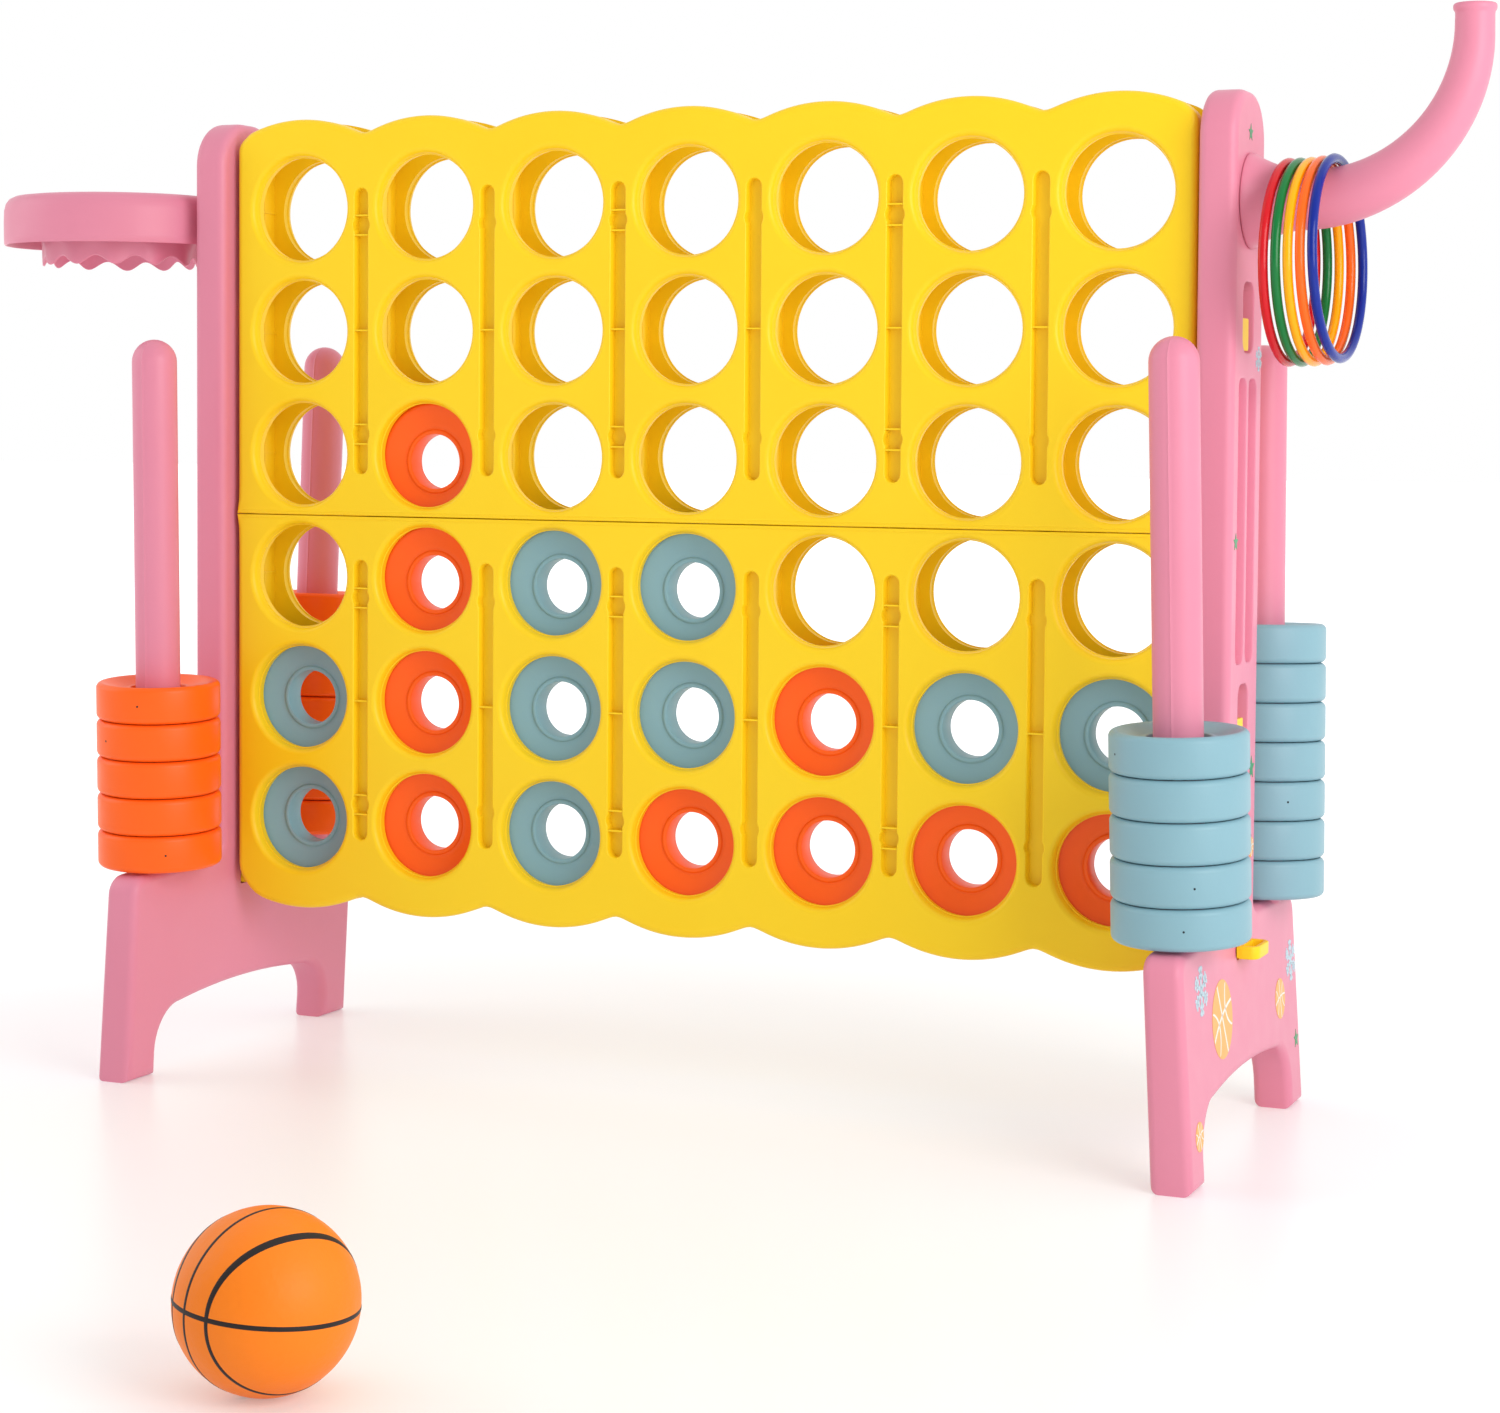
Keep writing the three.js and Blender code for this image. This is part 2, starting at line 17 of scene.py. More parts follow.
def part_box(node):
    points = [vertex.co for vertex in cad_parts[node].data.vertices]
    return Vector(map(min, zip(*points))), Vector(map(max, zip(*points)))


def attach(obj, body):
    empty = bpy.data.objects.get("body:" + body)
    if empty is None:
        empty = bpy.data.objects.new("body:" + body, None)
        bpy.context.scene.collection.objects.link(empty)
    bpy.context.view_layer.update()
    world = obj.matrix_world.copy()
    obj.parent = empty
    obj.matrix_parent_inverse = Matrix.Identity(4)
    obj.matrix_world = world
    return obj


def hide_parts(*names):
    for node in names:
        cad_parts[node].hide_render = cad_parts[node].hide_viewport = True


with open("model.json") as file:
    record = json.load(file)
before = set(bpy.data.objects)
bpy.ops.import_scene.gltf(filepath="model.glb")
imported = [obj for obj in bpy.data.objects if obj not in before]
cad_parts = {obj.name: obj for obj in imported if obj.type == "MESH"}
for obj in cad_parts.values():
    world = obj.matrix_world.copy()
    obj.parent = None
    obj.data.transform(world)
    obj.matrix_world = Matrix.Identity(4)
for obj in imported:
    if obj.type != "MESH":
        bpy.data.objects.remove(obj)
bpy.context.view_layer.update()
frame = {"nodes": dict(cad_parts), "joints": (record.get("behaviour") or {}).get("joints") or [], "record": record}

# ---- The board, in millimetres ----
MM = 0.001
COLUMNS = 7
ROWS_PER_PANEL = 3
COLUMN_PITCH = 138
ROW_PITCH = 120
LOWEST_ROW_Z = 240

BOARD_HALF_WIDTH = 485.5
BOARD_HALF_DEPTH = 36
CHANNEL_HALF_DEPTH = 19
FACE_Y = -BOARD_HALF_DEPTH
CHANNEL_Y = -CHANNEL_HALF_DEPTH
MIDPLANE_GAP = 0.2
SEAM_Z = 540
SEAM_GAP = 0.4
TOP_PEAK_Z = 927.5
BOTTOM_PEAK_Z = 150.5
UPPER_CORNER = 16
LOWER_CORNER = 26
PANEL_EDGE_ROUND = 6
SEAM_EDGE_ROUND = 1.2
EDGE_STEPS = 5
END_STOPS = (6, 14, 30, 60, 120, 180, 240, 300)

SCALLOP_RISE = 17
SCALLOP_STEPS = 240
SCALLOP_END_X = 478
SCALLOP_PLAIN_X = COLUMNS // 2 * COLUMN_PITCH + 20
VALLEY_SHARPNESS = 0.3

HOLE_RADIUS = 51
HOLE_SIDES = 72
# From the panel's face to the channel: how much wider than the hole, and how deep.
HOLE_LIP = (
    (6.2, 0), (5.8, 0), (4.4, 0.3), (2.8, 1.2), (1.4, 3.0), (0.5, 5.6), (0, 8.4), (-0.7, 8.7), (-0.9, 9.3),
    (-0.7, 9.9), (0.3, 10.3), (0.3, BOARD_HALF_DEPTH - CHANNEL_HALF_DEPTH),
)

GROOVE_HALF = 7.4
GROOVE_DEPTH = 10
GROOVE_LIP = ((1.6, 0), (1.2, 0), (0.5, 0.3), (0, 1.1), (-0.5, GROOVE_DEPTH))
UPPER_GROOVE = {"z": (581, 859), "bosses": (823, 620), "web": 721}
LOWER_GROOVE = {"z": (222, 497), "bosses": (460, 257), "web": 359}
BOSS_RADIUS = 9.2
BOSS_STOPS = (-9, -7, -6, -5, -4, -2.5, 0, 2.5, 4, 5, 6, 7, 9)
BOSS_WEB_REACH = 9.5
WEB_HALF = 0.7
WEB_HEIGHT = 9

DIVIDER_HALF = 7.6
DIVIDER_TOP_Z = 899
DIVIDER_BOTTOM_Z = 191
DIVIDER_BEAD_HALF = 1.9
DIVIDER_BEAD_Y = (-6, -0.4)
END_WALL = 9.5
END_RIB_HEIGHT = 1.4
END_RIB_HALF = 0.8
# These two are by whether the panel is an upper one.
SEAM_BEAD_RISE = {True: 3.6, False: -3.2}
TONGUE_Z = {True: (700.5, 728.5), False: (348.5, 378.5)}
TONGUE_Y = (-17.8, 3.5)
LEDGE_HALF = 20
LEDGE_Y = -12
LEDGE_Z = (162, 167.6)

# ---- The end frames, rods and sliders ----
POST_INNER_X = 490.5
POST_OUTER_X = 524.4
POST_HALF_DEPTH = 53.4
POST_TOP_Z = 927
POST_CORNER = 44
POST_FILLET = 9
BEND_Z = 206
BASE_HALF_SPAN = 204
BASE_SHOULDER_Z = 200
BASE_CORNER = 18
INNER_SPLAY = 0.05
OUTER_SPLAY = 0.064
ARCH_HALF_SPAN = 156
ARCH_SIDE_Z = 64
ARCH_CROWN_Z = 71
ARCH_CORNER = 42
ARCH_STEPS = 12
FRAME_ROUND = 8
# Each cut's middle, half width, half height and corner; then its depth, or None where it goes through.
POST_CUTS = (
    ((-1.5, 729.5), 18.5, 30.5, 12, None),
    ((-1, 377.5), 18, 30.5, 12, None),
    ((-17.5, 551.5), 13.2, 124.5, 9, 9),
    ((17.5, 551.5), 13.2, 124.5, 9, 9),
)
PULL_SLOT = ((0, 174.5), 18.6, 7.2, 1.5)
SLOT_LIP = ((2.4, 0), (2.0, 0), (0.7, 0.5), (0, 2))

ROD_RADIUS = 21.3
ROD_LENGTH = 508
ROD_PARTING_HALF_ANGLE = 1.3
ROD_PARTING_RISE = 0.35

SLIDER_Z = (168.9, 180.4)
SLIDER_HALF = 17.2
SLIDER_X = (0.8, 2.4, 532)
PULL_HALF = 23.5
PULL_ROOT_X = 529.5
PULL_BEND_X = 537
PULL_BEND = 9.5
PULL_WALL_HALF = 2.4

# ---- The toys ----
HORN_Z = 831
HORN_BEND_X = 575
HORN_BEND = 140
HORN_ROOT_RADIUS = 26.4
HORN_TAPER = 9.6
HORN_FLANGE_FLARE = 15.2
HORN_FLANGE_LENGTH = 44
# The horn's mouth, from its outside over its lip and down inside, as (height, radius).
HORN_MOUTH = (
    (984.5, 16.6), (986.5, 16.9), (987.6, 17.7), (989, 18.3), (991, 18.4), (992.6, 18.0), (993.5, 17.0),
    (993.6, 15.8), (992.8, 14.9), (990, 14.3), (975, 14), (958, 13.6),
)
HORN_FLOOR_Z = 957

TOSS_RING_RADIUS = 86.0
TOSS_RING_TUBE = 4.3
TOSS_RING_PARTING = 0.18
TOSS_RING_TURN = -2.3
TOSS_RING_LEAN = -0.45

HOOP_X = -646
HOOP_SIDES = 192
NET_WAVES = 12
# The hoop's section as (radius, height): over the rim to the net, then back up inside the rim.
HOOP_RIM = (
    (113.4, 809.4), (114.2, 807.6), (115.6, 807.4), (116.4, 808.6), (116.6, 815), (116.8, 830), (116.4, 842),
    (114.8, 848.6), (111.4, 853.4), (106, 856.2), (98, 857.2), (90, 856.4), (84, 853.6), (80.4, 849),
    (78.8, 842), (76.0, 825), (75.4, 812), (75.2, 806),
)
HOOP_UNDERSIDE = (
    (79.4, 812), (80.4, 828), (82, 843), (86, 849.6), (92, 852.4), (100, 853), (107, 851.6), (111, 847.4),
    (112.8, 840), (113.2, 825),
)
# The net's wavy edge, from inside to outside, as (radius, drop).
NET_EDGE = ((75.4, -8), (75.2, 0.2), (76.0, 0.9), (77.0, 0.7), (77.8, -0.2), (78.2, -8))
NET_Z = 792.6
NET_SWING = 4.4
NET_RIPPLE = 1.3
HOOP_ARM_HALF = 22
HOOP_ARM_Z = (810, 843)

DISC_RADIUS = 59
DISC_BORE = 26.5
DISC_THICKNESS = 35.5
DISC_GAP = 0.3
DISC_CORNER = 5.6
PIN_HOLE_RADIUS = 1.0

BALL_RADIUS = 61.5
BALL_UPRIGHT = Vector((0.075, 0.04, 1)).normalized()
BALL_POLE_BEARING = 63.4
BALL_GIRTH_WIDTH = 3.2
BALL_MERIDIAN_WIDTH = 2.6
BALL_ARC_WIDTHS = (2.9, 6.0)
# How far the two arcs lie from the pole, in degrees: on average, and how much more or less.
BALL_ARC_REACH = (63.5, 6.5)
# Across a seam: offset in seam widths, and lift off the skin.
BALL_SEAM_SECTION = ((-0.55, -1.0), (-0.5, 0.02), (-0.2, 0.22), (0.2, 0.22), (0.5, 0.02), (0.55, -1.0))

# ---- Stickers on the right-hand frame's outer face: y, z and size, and for a ball its lean in degrees ----
STARS = ((-3, 890, 8), (-36, 534, 8), (32, 331, 11), (186, 61, 9))
SNOWFLAKES = ((37, 694, 11), (-144, 161, 21), (178, 136, 19))
BALL_STICKERS = ((-79, 126, 34, 25), (131, 108, 18.5, 10), (-171, 44, 12.5, 20), (35, 260, 9, 15))
STICKER_LIFT = 0.3
OVERLAY_LIFT = 0.42

# ---- Floor, light and camera ----
FLOOR_REACH = 30.0
FLOOR_GREY = 0.72
# The floor brightens with distance from its middle, in metres, until it meets the white backdrop.
FLOOR_FADE = {"From Min": 0.9, "From Max": 3.0, "To Min": 0.24, "To Max": 0.55}
# The backdrop's light, by the y of its direction.
SKY_FADE = {"From Min": -0.95, "From Max": 0.05, "To Min": 0.55, "To Max": 1.0}
LIGHT_AIM = (0, 0, 450)
LIGHT_SIDE = 1.8
LIGHTS = {"left_box": ((-2700, -900, 1500), 14), "right_box": ((2800, -1600, 1400), 50)}
CAMERA_AT = (1176.6, -2662.2, 640.3)
CAMERA_TURN = (23.0, 2.634, 0.414)
CAMERA_LENS = 74.12
CAMERA_SHIFT = (0.0041, -0.0989)

left_low, left_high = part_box("left_end_frame")
right_low, right_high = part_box("right_end_frame")
CENTRE = Vector(((left_low.x + right_high.x) / 2, (left_low.y + left_high.y) / 2, 0))


def in_frame(x, y, z):
    """A point drawn from the board's middle, in the frame."""
    return CENTRE + Vector((x, y, z)) * MM


def from_board(point):
    """A point of the frame, in millimetres from the board's middle."""
    return (point - CENTRE) / MM


def column_x(column):
    return (column - (COLUMNS + 1) / 2) * COLUMN_PITCH


# ---- Materials ----
CLOUDS = {"scale": 9, "detail": 3}
CLOUD_RANGE = {"From Min": 0.35, "From Max": 0.75, "To Max": 0.35}
GLOSS_SPOTS = {"scale": 40, "detail": 4}
ORANGE_PEEL = {"scale": 170, "detail": 2, "strength": 0.12, "distance": 0.0006}
FINE_GRAIN = {"scale": 1400, "detail": 2, "strength": 0.1, "distance": 0.0002}


def srgb(code):
    """A colour written as six hexadecimal digits, as linear red, green, blue and alpha."""
    parts = [int(code[i : i + 2], 16) / 255 for i in (0, 2, 4)]
    linear = [c / 12.92 if c <= 0.04045 else ((c + 0.055) / 1.055) ** 2.4 for c in parts]
    return (*linear, 1)


def map_range(tree, value, limits):
    """A Map Range node fed by value, with its limits set by name; gives its output."""
    made = tree.nodes.new("ShaderNodeMapRange")
    for name, limit in limits.items():
        made.inputs[name].default_value = limit
    tree.links.new(value, made.inputs["Value"])
    return made.outputs["Result"]


def plastic(name, colour, shade, roughness=0.36, grain=1.0):
    """Moulded plastic: a faintly clouded colour, uneven gloss, orange peel and a fine grain."""
    material = bpy.data.materials.new(name)
    material.use_nodes = True
    tree = material.node_tree
    nodes, links = tree.nodes, tree.links
    shader = nodes["Principled BSDF"]
    shader.inputs["IOR"].default_value = 1.5
    shader.inputs["Specular IOR Level"].default_value = 0.3
    place = nodes.new("ShaderNodeTexCoord")

    def noise(kind):
        texture = nodes.new("ShaderNodeTexNoise")
        texture.inputs["Scale"].default_value = kind["scale"]
        texture.inputs["Detail"].default_value = kind["detail"]
        links.new(place.outputs["Object"], texture.inputs["Vector"])
        return texture.outputs["Fac"]

    def bump(kind):
        made = nodes.new("ShaderNodeBump")
        made.inputs["Strength"].default_value = kind["strength"] * grain
        made.inputs["Distance"].default_value = kind["distance"]
        links.new(noise(kind), made.inputs["Height"])
        return made

    mix = nodes.new("ShaderNodeMix")
    mix.data_type = "RGBA"
    mix.inputs["A"].default_value = srgb(colour)
    mix.inputs["B"].default_value = srgb(shade)
    links.new(map_range(tree, noise(CLOUDS), CLOUD_RANGE), mix.inputs["Factor"])
    links.new(mix.outputs["Result"], shader.inputs["Base Color"])

    gloss_range = {"To Min": roughness - 0.05, "To Max": roughness + 0.09}
    links.new(map_range(tree, noise(GLOSS_SPOTS), gloss_range), shader.inputs["Roughness"])

    peel, fine = bump(ORANGE_PEEL), bump(FINE_GRAIN)
    links.new(peel.outputs["Normal"], fine.inputs["Normal"])
    links.new(fine.outputs["Normal"], shader.inputs["Normal"])
    return material


YELLOW = plastic("yellow_moulding", "F8D11A", "F6C80A")
PINK = plastic("pink_moulding", "DE889F", "DA8098")
ORANGE = plastic("orange_disc", "FF650E", "F85C08", grain=1.3)
BLUE = plastic("blue_disc", "86AEBA", "7DA5B2", grain=1.3)
# The pin holes are dark plugs set into the disc rims. Their dark colour is painted shade standing in for the depth
# of each hole.
PAINTED_PIN_HOLE_SHADE = plastic("pin_hole_painted_shade", "20262B", "14181C", roughness=0.7)
DISC_LOOKS = {"orange_discs": ORANGE, "blue_discs": BLUE}
RING_COLOURS = {
    "red": plastic("ring_red", "CE101C", "C20C18", roughness=0.16),
    "green": plastic("ring_green", "047434", "04682E", roughness=0.16),
    "yellow": plastic("ring_yellow", "FFAE00", "F8A400", roughness=0.16),
    "orange": plastic("ring_orange", "FF6814", "F65E0C", roughness=0.16),
    "blue": plastic("ring_blue", "03248C", "021E7E", roughness=0.16),
}
BALL_SKIN = plastic("ball_rubber", "F5800F", "EE7608", roughness=0.48, grain=5.0)
BALL_SEAM = plastic("ball_seam", "241D1B", "191413", roughness=0.5)
DECAL_STAR = plastic("sticker_star", "2F8F58", "298550", roughness=0.3)
DECAL_FLAKE = plastic("sticker_flake", "B9D2DC", "AFC9D4", roughness=0.3)
DECAL_BALL = plastic("sticker_ball", "E9AA50", "E2A147", roughness=0.3)
DECAL_WHITE = plastic("sticker_white", "ECE6DC", "E4DED4", roughness=0.3)


# ---- Mesh making ----
WELD = 2e-6
SHARP_EDGE = math.radians(38)


class Build:
    """Gathers closed loops of points, in millimetres, and the faces between them."""

    def __init__(self):
        self.points = []
        self.faces = []
        self.marks = []
        self.mark = 0

    def face(self, corners):
        """Adds one face, which takes the material whose number is in mark."""
        self.faces.append(tuple(corners))
        self.marks.append(self.mark)

    def loop(self, points):
        start = len(self.points)
        self.points.extend(Vector(p) for p in points)
        return list(range(start, len(self.points)))

    def bridge(self, a, b):
        for i in range(len(a)):
            j = (i + 1) % len(a)
            self.face((a[i], a[j], b[j], b[i]))

    def skin(self, loops):
        """Joins each loop to the next one; the loops hold as many points as each other."""
        made = [self.loop(points) for points in loops]
        for a, b in zip(made, made[1:]):
            self.bridge(a, b)
        return made

    def fill(self, loops):
        """Closes a flat region: the first loop is its outline and the others are its holes."""
        order = [i for loop in loops for i in loop]
        shape = [[self.points[i] for i in loop] for loop in loops]
        for triangle in tessellate_polygon(shape):
            self.face([order[i] for i in triangle])

    def fan(self, loop, tip):
        """Joins a loop to one point."""
        for i, index in enumerate(loop):
            self.face((index, loop[(i + 1) % len(loop)], tip))

    def closed_skin(self, loops):
        """A skin whose first and last loops are filled."""
        made = self.skin(loops)
        self.fill([made[0]])
        self.fill([made[-1]])

    def ring_skin(self, loops):
        """A skin whose last loop is joined to its first."""
        made = self.skin(loops)
        self.bridge(made[-1], made[0])

    def bar(self, section, x0, x1):
        """A straight bar along x, with a convex section in y and z."""
        ends = self.skin([[(x, y, z) for y, z in section] for x in (x0, x1)])
        self.face(reversed(ends[0]))
        self.face(ends[1])

    def box(self, low, high, soft=0.0):
        """A block, with its edges along x cut back by soft."""
        (x0, y0, z0), (x1, y1, z1) = low, high
        section = [(y0, z0), (y1, z0), (y1, z1), (y0, z1)]
        if soft:
            section = [
                (y0 + soft, z0), (y1 - soft, z0), (y1, z0 + soft), (y1, z1 - soft),
                (y1 - soft, z1), (y0 + soft, z1), (y0, z1 - soft), (y0, z0 + soft),
            ]
        self.bar(section, x0, x1)

    def turn(self, profile, angles, swell=None):
        """Turns a profile of (radius, height) about the z axis; radius 0 closes to a point."""
        loops = []
        for radius, height in profile:
            if radius == 0:
                loops.append(self.loop([(0, 0, height)]))
                continue
            ring = []
            for angle in angles:
                reach = radius + (swell(angle) if swell else 0)
                ring.append((reach * math.cos(angle), reach * math.sin(angle), height))
            loops.append(self.loop(ring))
        for a, b in zip(loops, loops[1:]):
            if len(a) == len(b):
                self.bridge(a, b)
            elif len(a) == 1:
                self.fan(b, a[0])
            else:
                self.fan(a, b[0])
        return loops

    def object(self, name, materials, to_frame=None):
        """Makes the mesh. to_frame turns a point in millimetres into one of the frame."""
        place = to_frame or (lambda p: in_frame(*p))
        mesh = bpy.data.meshes.new(name)
        mesh.from_pydata([place(p) for p in self.points], [], self.faces)
        mesh.polygons.foreach_set("material_index", self.marks)
        work = bmesh.new()
        work.from_mesh(mesh)
        bmesh.ops.remove_doubles(work, verts=work.verts, dist=WELD)
        bmesh.ops.recalc_face_normals(work, faces=work.faces)
        work.to_mesh(mesh)
        work.free()
        mesh.polygons.foreach_set("use_smooth", [True] * len(mesh.polygons))
        mesh.set_sharp_from_angle(angle=SHARP_EDGE)
        for material in materials:
            mesh.materials.append(material)
        made = bpy.data.objects.new(name, mesh)
        bpy.context.scene.collection.objects.link(made)
        return made


def finish_piece(made, body, slot, *nodes):
    """Hangs the piece on its body and hides the nodes that it stands for; slot is not used."""
    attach(made, body)
    if nodes:
        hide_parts(*nodes)


def circle_angles(count):
    return [2 * math.pi * i / count for i in range(count)]


def circle(u, v, radius, count):
    return [(u + radius * math.cos(t), v + radius * math.sin(t)) for t in circle_angles(count)]


def arc(centre, radius, start, end, steps):
    """Points on an arc from start to end, in degrees."""
    (u, v), points = centre, []
    for i in range(steps + 1):
        angle = math.radians(start + (end - start) * i / steps)
        points.append((u + radius * math.cos(angle), v + radius * math.sin(angle)))
    return points


def slot_outline(centre, half_width, half_height, corner, steps=5):
    """A rectangle with round corners, anticlockwise."""
    (u, v), (a, b) = centre, (half_width - corner, half_height - corner)
    points = []
    for du, dv, start in ((a, b, 0), (-a, b, 90), (-a, -b, 180), (a, -b, 270)):
        points += arc((u + du, v + dv), corner, start, start + 90, steps)
    return points


def inset(outline, distances):
    """Moves each point of an anticlockwise outline inwards by its own distance."""
    count, moved = len(outline), []
    for i, (u, v) in enumerate(outline):
        before, after = outline[i - 1], outline[(i + 1) % count]
        normals = []
        for (u0, v0), (u1, v1) in ((before, (u, v)), ((u, v), after)):
            length = math.hypot(u1 - u0, v1 - v0) or 1
            normals.append(((v0 - v1) / length, (u1 - u0) / length))
        nu, nv = normals[0][0] + normals[1][0], normals[0][1] + normals[1][1]
        scale = 2 * distances[i] / max(nu * nu + nv * nv, 0.5)
        moved.append((u + nu * scale, v + nv * scale))
    return moved


def rounding(radius, steps):
    """(inset, depth) pairs round a quarter circle, from the flat face down the side."""
    quarter = [math.pi / 2 * i / steps for i in range(steps + 1)]
    return [(radius * (1 - math.sin(a)), radius * (1 - math.cos(a))) for a in quarter]


# ---- Board panels ----
def lobe_drop(x):
    """How far the scalloped edge lies below its peaks at x, with softened valleys."""
    half = COLUMN_PITCH / 2
    radius = (half * half + SCALLOP_RISE * SCALLOP_RISE) / (2 * SCALLOP_RISE)

    def lobe(dx):
        return math.sqrt(radius * radius - dx * dx) - radius

    outermost = COLUMNS // 2
    column = min(max(round(x / COLUMN_PITCH), -outermost), outermost)
    dx = x - column * COLUMN_PITCH
    here = lobe(dx)
    if abs(x) > SCALLOP_PLAIN_X:
        return -here
    there = lobe(COLUMN_PITCH - abs(dx))
    valley = math.log1p(math.exp(-VALLEY_SHARPNESS * abs(here - there))) / VALLEY_SHARPNESS
    return -(max(here, there) + valley)


def panel_outline(upper):
    """The outline in x and z, anticlockwise, with each point's edge rounding."""
    w = BOARD_HALF_WIDTH
    corner, peak_z = (UPPER_CORNER, TOP_PEAK_Z) if upper else (LOWER_CORNER, BOTTOM_PEAK_Z)
    peak = abs(peak_z - SEAM_Z) - SEAM_GAP
    end = [(z, min(PANEL_EDGE_ROUND, SEAM_EDGE_ROUND + z * 0.3)) for z in END_STOPS]
    points = [(-w, 0, SEAM_EDGE_ROUND), (w, 0, SEAM_EDGE_ROUND)]
    points += [(w, z, r) for z, r in end]
    bend = [w - corner * (1 - math.cos(math.radians(a))) for a in range(0, 91, 15)]
    level = [(w - corner) * (1 - 2 * i / SCALLOP_STEPS) for i in range(1, SCALLOP_STEPS)]
    for x in bend + level + [-x for x in reversed(bend)]:
        over = max(0.0, abs(x) - (w - corner))
        cut = corner - math.sqrt(max(0.0, corner * corner - over * over))
        drop = lobe_drop(min(max(x, -SCALLOP_END_X), SCALLOP_END_X))
        points.append((x, peak - drop - cut, PANEL_EDGE_ROUND))
    points += [(-w, z, r) for z, r in reversed(end)]
    way = 1 if upper else -1
    return [(way * x, SEAM_Z + way * (SEAM_GAP + z), r) for x, z, r in points]


def panel_skin(build, outline):
    """The panel's rounded edge and its sides. Gives the loops round its face and round its back."""
    flat = [(x, z) for x, z, _ in outline]
    radii = [r for _, _, r in outline]
    rings = [[(x, FACE_Y, z) for x, z in inset(flat, [r + 0.5 for r in radii])]]
    for step in range(EDGE_STEPS + 1):
        angle = math.pi / 2 * step / EDGE_STEPS
        moved = inset(flat, [r * (1 - math.sin(angle)) for r in radii])
        rings.append([(x, FACE_Y + r * (1 - math.cos(angle)), z) for (x, z), r in zip(moved, radii)])
    rings.append([(x, CHANNEL_Y, z) for x, z in flat])
    made = build.skin(rings)
    return made[0], made[-1]


def hole_skin(build, x, z):
    """A hole's lip and wall. Gives the loops at the panel's face and at its back."""
    rings = []
    for grow, depth in HOLE_LIP:
        ring = arc((x, z), HOLE_RADIUS + grow, 0, 360, HOLE_SIDES)[:-1]
        rings.append([(u, FACE_Y + depth, v) for u, v in ring])
    made = build.skin(rings)
    return made[0], made[-1]


def groove_outline(x, groove):
    """A narrow slot with round ends that swells round its two bosses."""
    z0, z1 = groove["z"]

    def half_width(z):
        reach = [max(0.0, BOSS_RADIUS**2 - (z - boss) ** 2) for boss in groove["bosses"]]
        return max(GROOVE_HALF, math.sqrt(max(reach)))

    low, high = z0 + GROOVE_HALF, z1 - GROOVE_HALF
    stops = sorted([low, high] + [boss + step for boss in groove["bosses"] for step in BOSS_STOPS])
    side = [(x + half_width(z), z) for z in stops]
    top = arc((x, high), GROOVE_HALF, 0, 180, 8)[1:-1]
    other = [(x - half_width(z), z) for z in reversed(stops)]
    return side + top + other + arc((x, low), GROOVE_HALF, 180, 360, 8)[1:-1]


def groove_skin(build, x, groove):
    """A groove's wall and floor. Gives the loop at the panel's face."""
    shape = groove_outline(x, groove)
    rings = []
    for grow, depth in GROOVE_LIP:
        ring = inset(shape, [-grow] * len(shape))
        rings.append([(u, FACE_Y + depth, v) for u, v in ring])
    made = build.skin(rings)
    build.fill([made[-1]])
    return made[0]


def groove_webs(build, x, groove, beside_bosses):
    """The thin webs inside a groove: one at its middle and, if asked for, a pair round each boss."""
    floor = FACE_Y + GROOVE_DEPTH
    half = GROOVE_HALF + 0.4
    webs = [groove["web"]]
    if beside_bosses:
        webs += [boss + side * BOSS_WEB_REACH for boss in groove["bosses"] for side in (-1, 1)]
    for z in webs:
        build.box((x - half, floor - WEB_HEIGHT, z - WEB_HALF), (x + half, floor + 1, z + WEB_HALF))


def divider(build, x, low, high):
    """The wall between two channels, with a bead down each side of its edge at the mid-plane."""
    build.box((x - DIVIDER_HALF, CHANNEL_Y - 1, low), (x + DIVIDER_HALF, -MIDPLANE_GAP, high))
    near, far = DIVIDER_BEAD_Y
    for bead in (x - DIVIDER_HALF, x + DIVIDER_HALF):
        build.box((bead - DIVIDER_BEAD_HALF, near, low + 2), (bead + DIVIDER_BEAD_HALF, far, high - 2))


def end_wall(build, side, rows, low, high):
    """The outer wall of an outermost channel, with a thin rib inside it at each row."""
    inside = BOARD_HALF_WIDTH - END_WALL
    x0, x1 = sorted((side * (BOARD_HALF_WIDTH - 0.5), side * inside))
    build.box((x0, CHANNEL_Y - 1, low), (x1, -MIDPLANE_GAP, high))
    x0, x1 = sorted((side * (inside + 1), side * (inside - END_RIB_HEIGHT)))
    for z in rows:
        build.box((x0, CHANNEL_Y, z - END_RIB_HALF), (x1, -MIDPLANE_GAP, z + END_RIB_HALF))


def seam_bead(build, upper):
    """A fine raised line along the seam on the panel's face."""
    z, reach = SEAM_Z + SEAM_BEAD_RISE[upper], BOARD_HALF_WIDTH - 7
    root, crest = FACE_Y + 0.6, FACE_Y - 0.35
    build.bar([(root, z - 0.9), (crest, z - 0.35), (crest, z + 0.35), (root, z + 0.9)], -reach, reach)


def tongue(build, upper):
    """The tongue at the panel's right-hand end, in the post's slot."""
    (near, far), (low, high) = TONGUE_Y, TONGUE_Z[upper]
    build.box((BOARD_HALF_WIDTH - 4, near, low), (POST_OUTER_X - 1.2, far, high), soft=1.6)


def ledges(build):
    """The short ledges under the columns, which the sliders run on."""
    low, high = LEDGE_Z
    for column in range(1, COLUMNS + 1):
        x = column_x(column)
        build.box((x - LEDGE_HALF, CHANNEL_Y - 1, low), (x + LEDGE_HALF, LEDGE_Y, high))


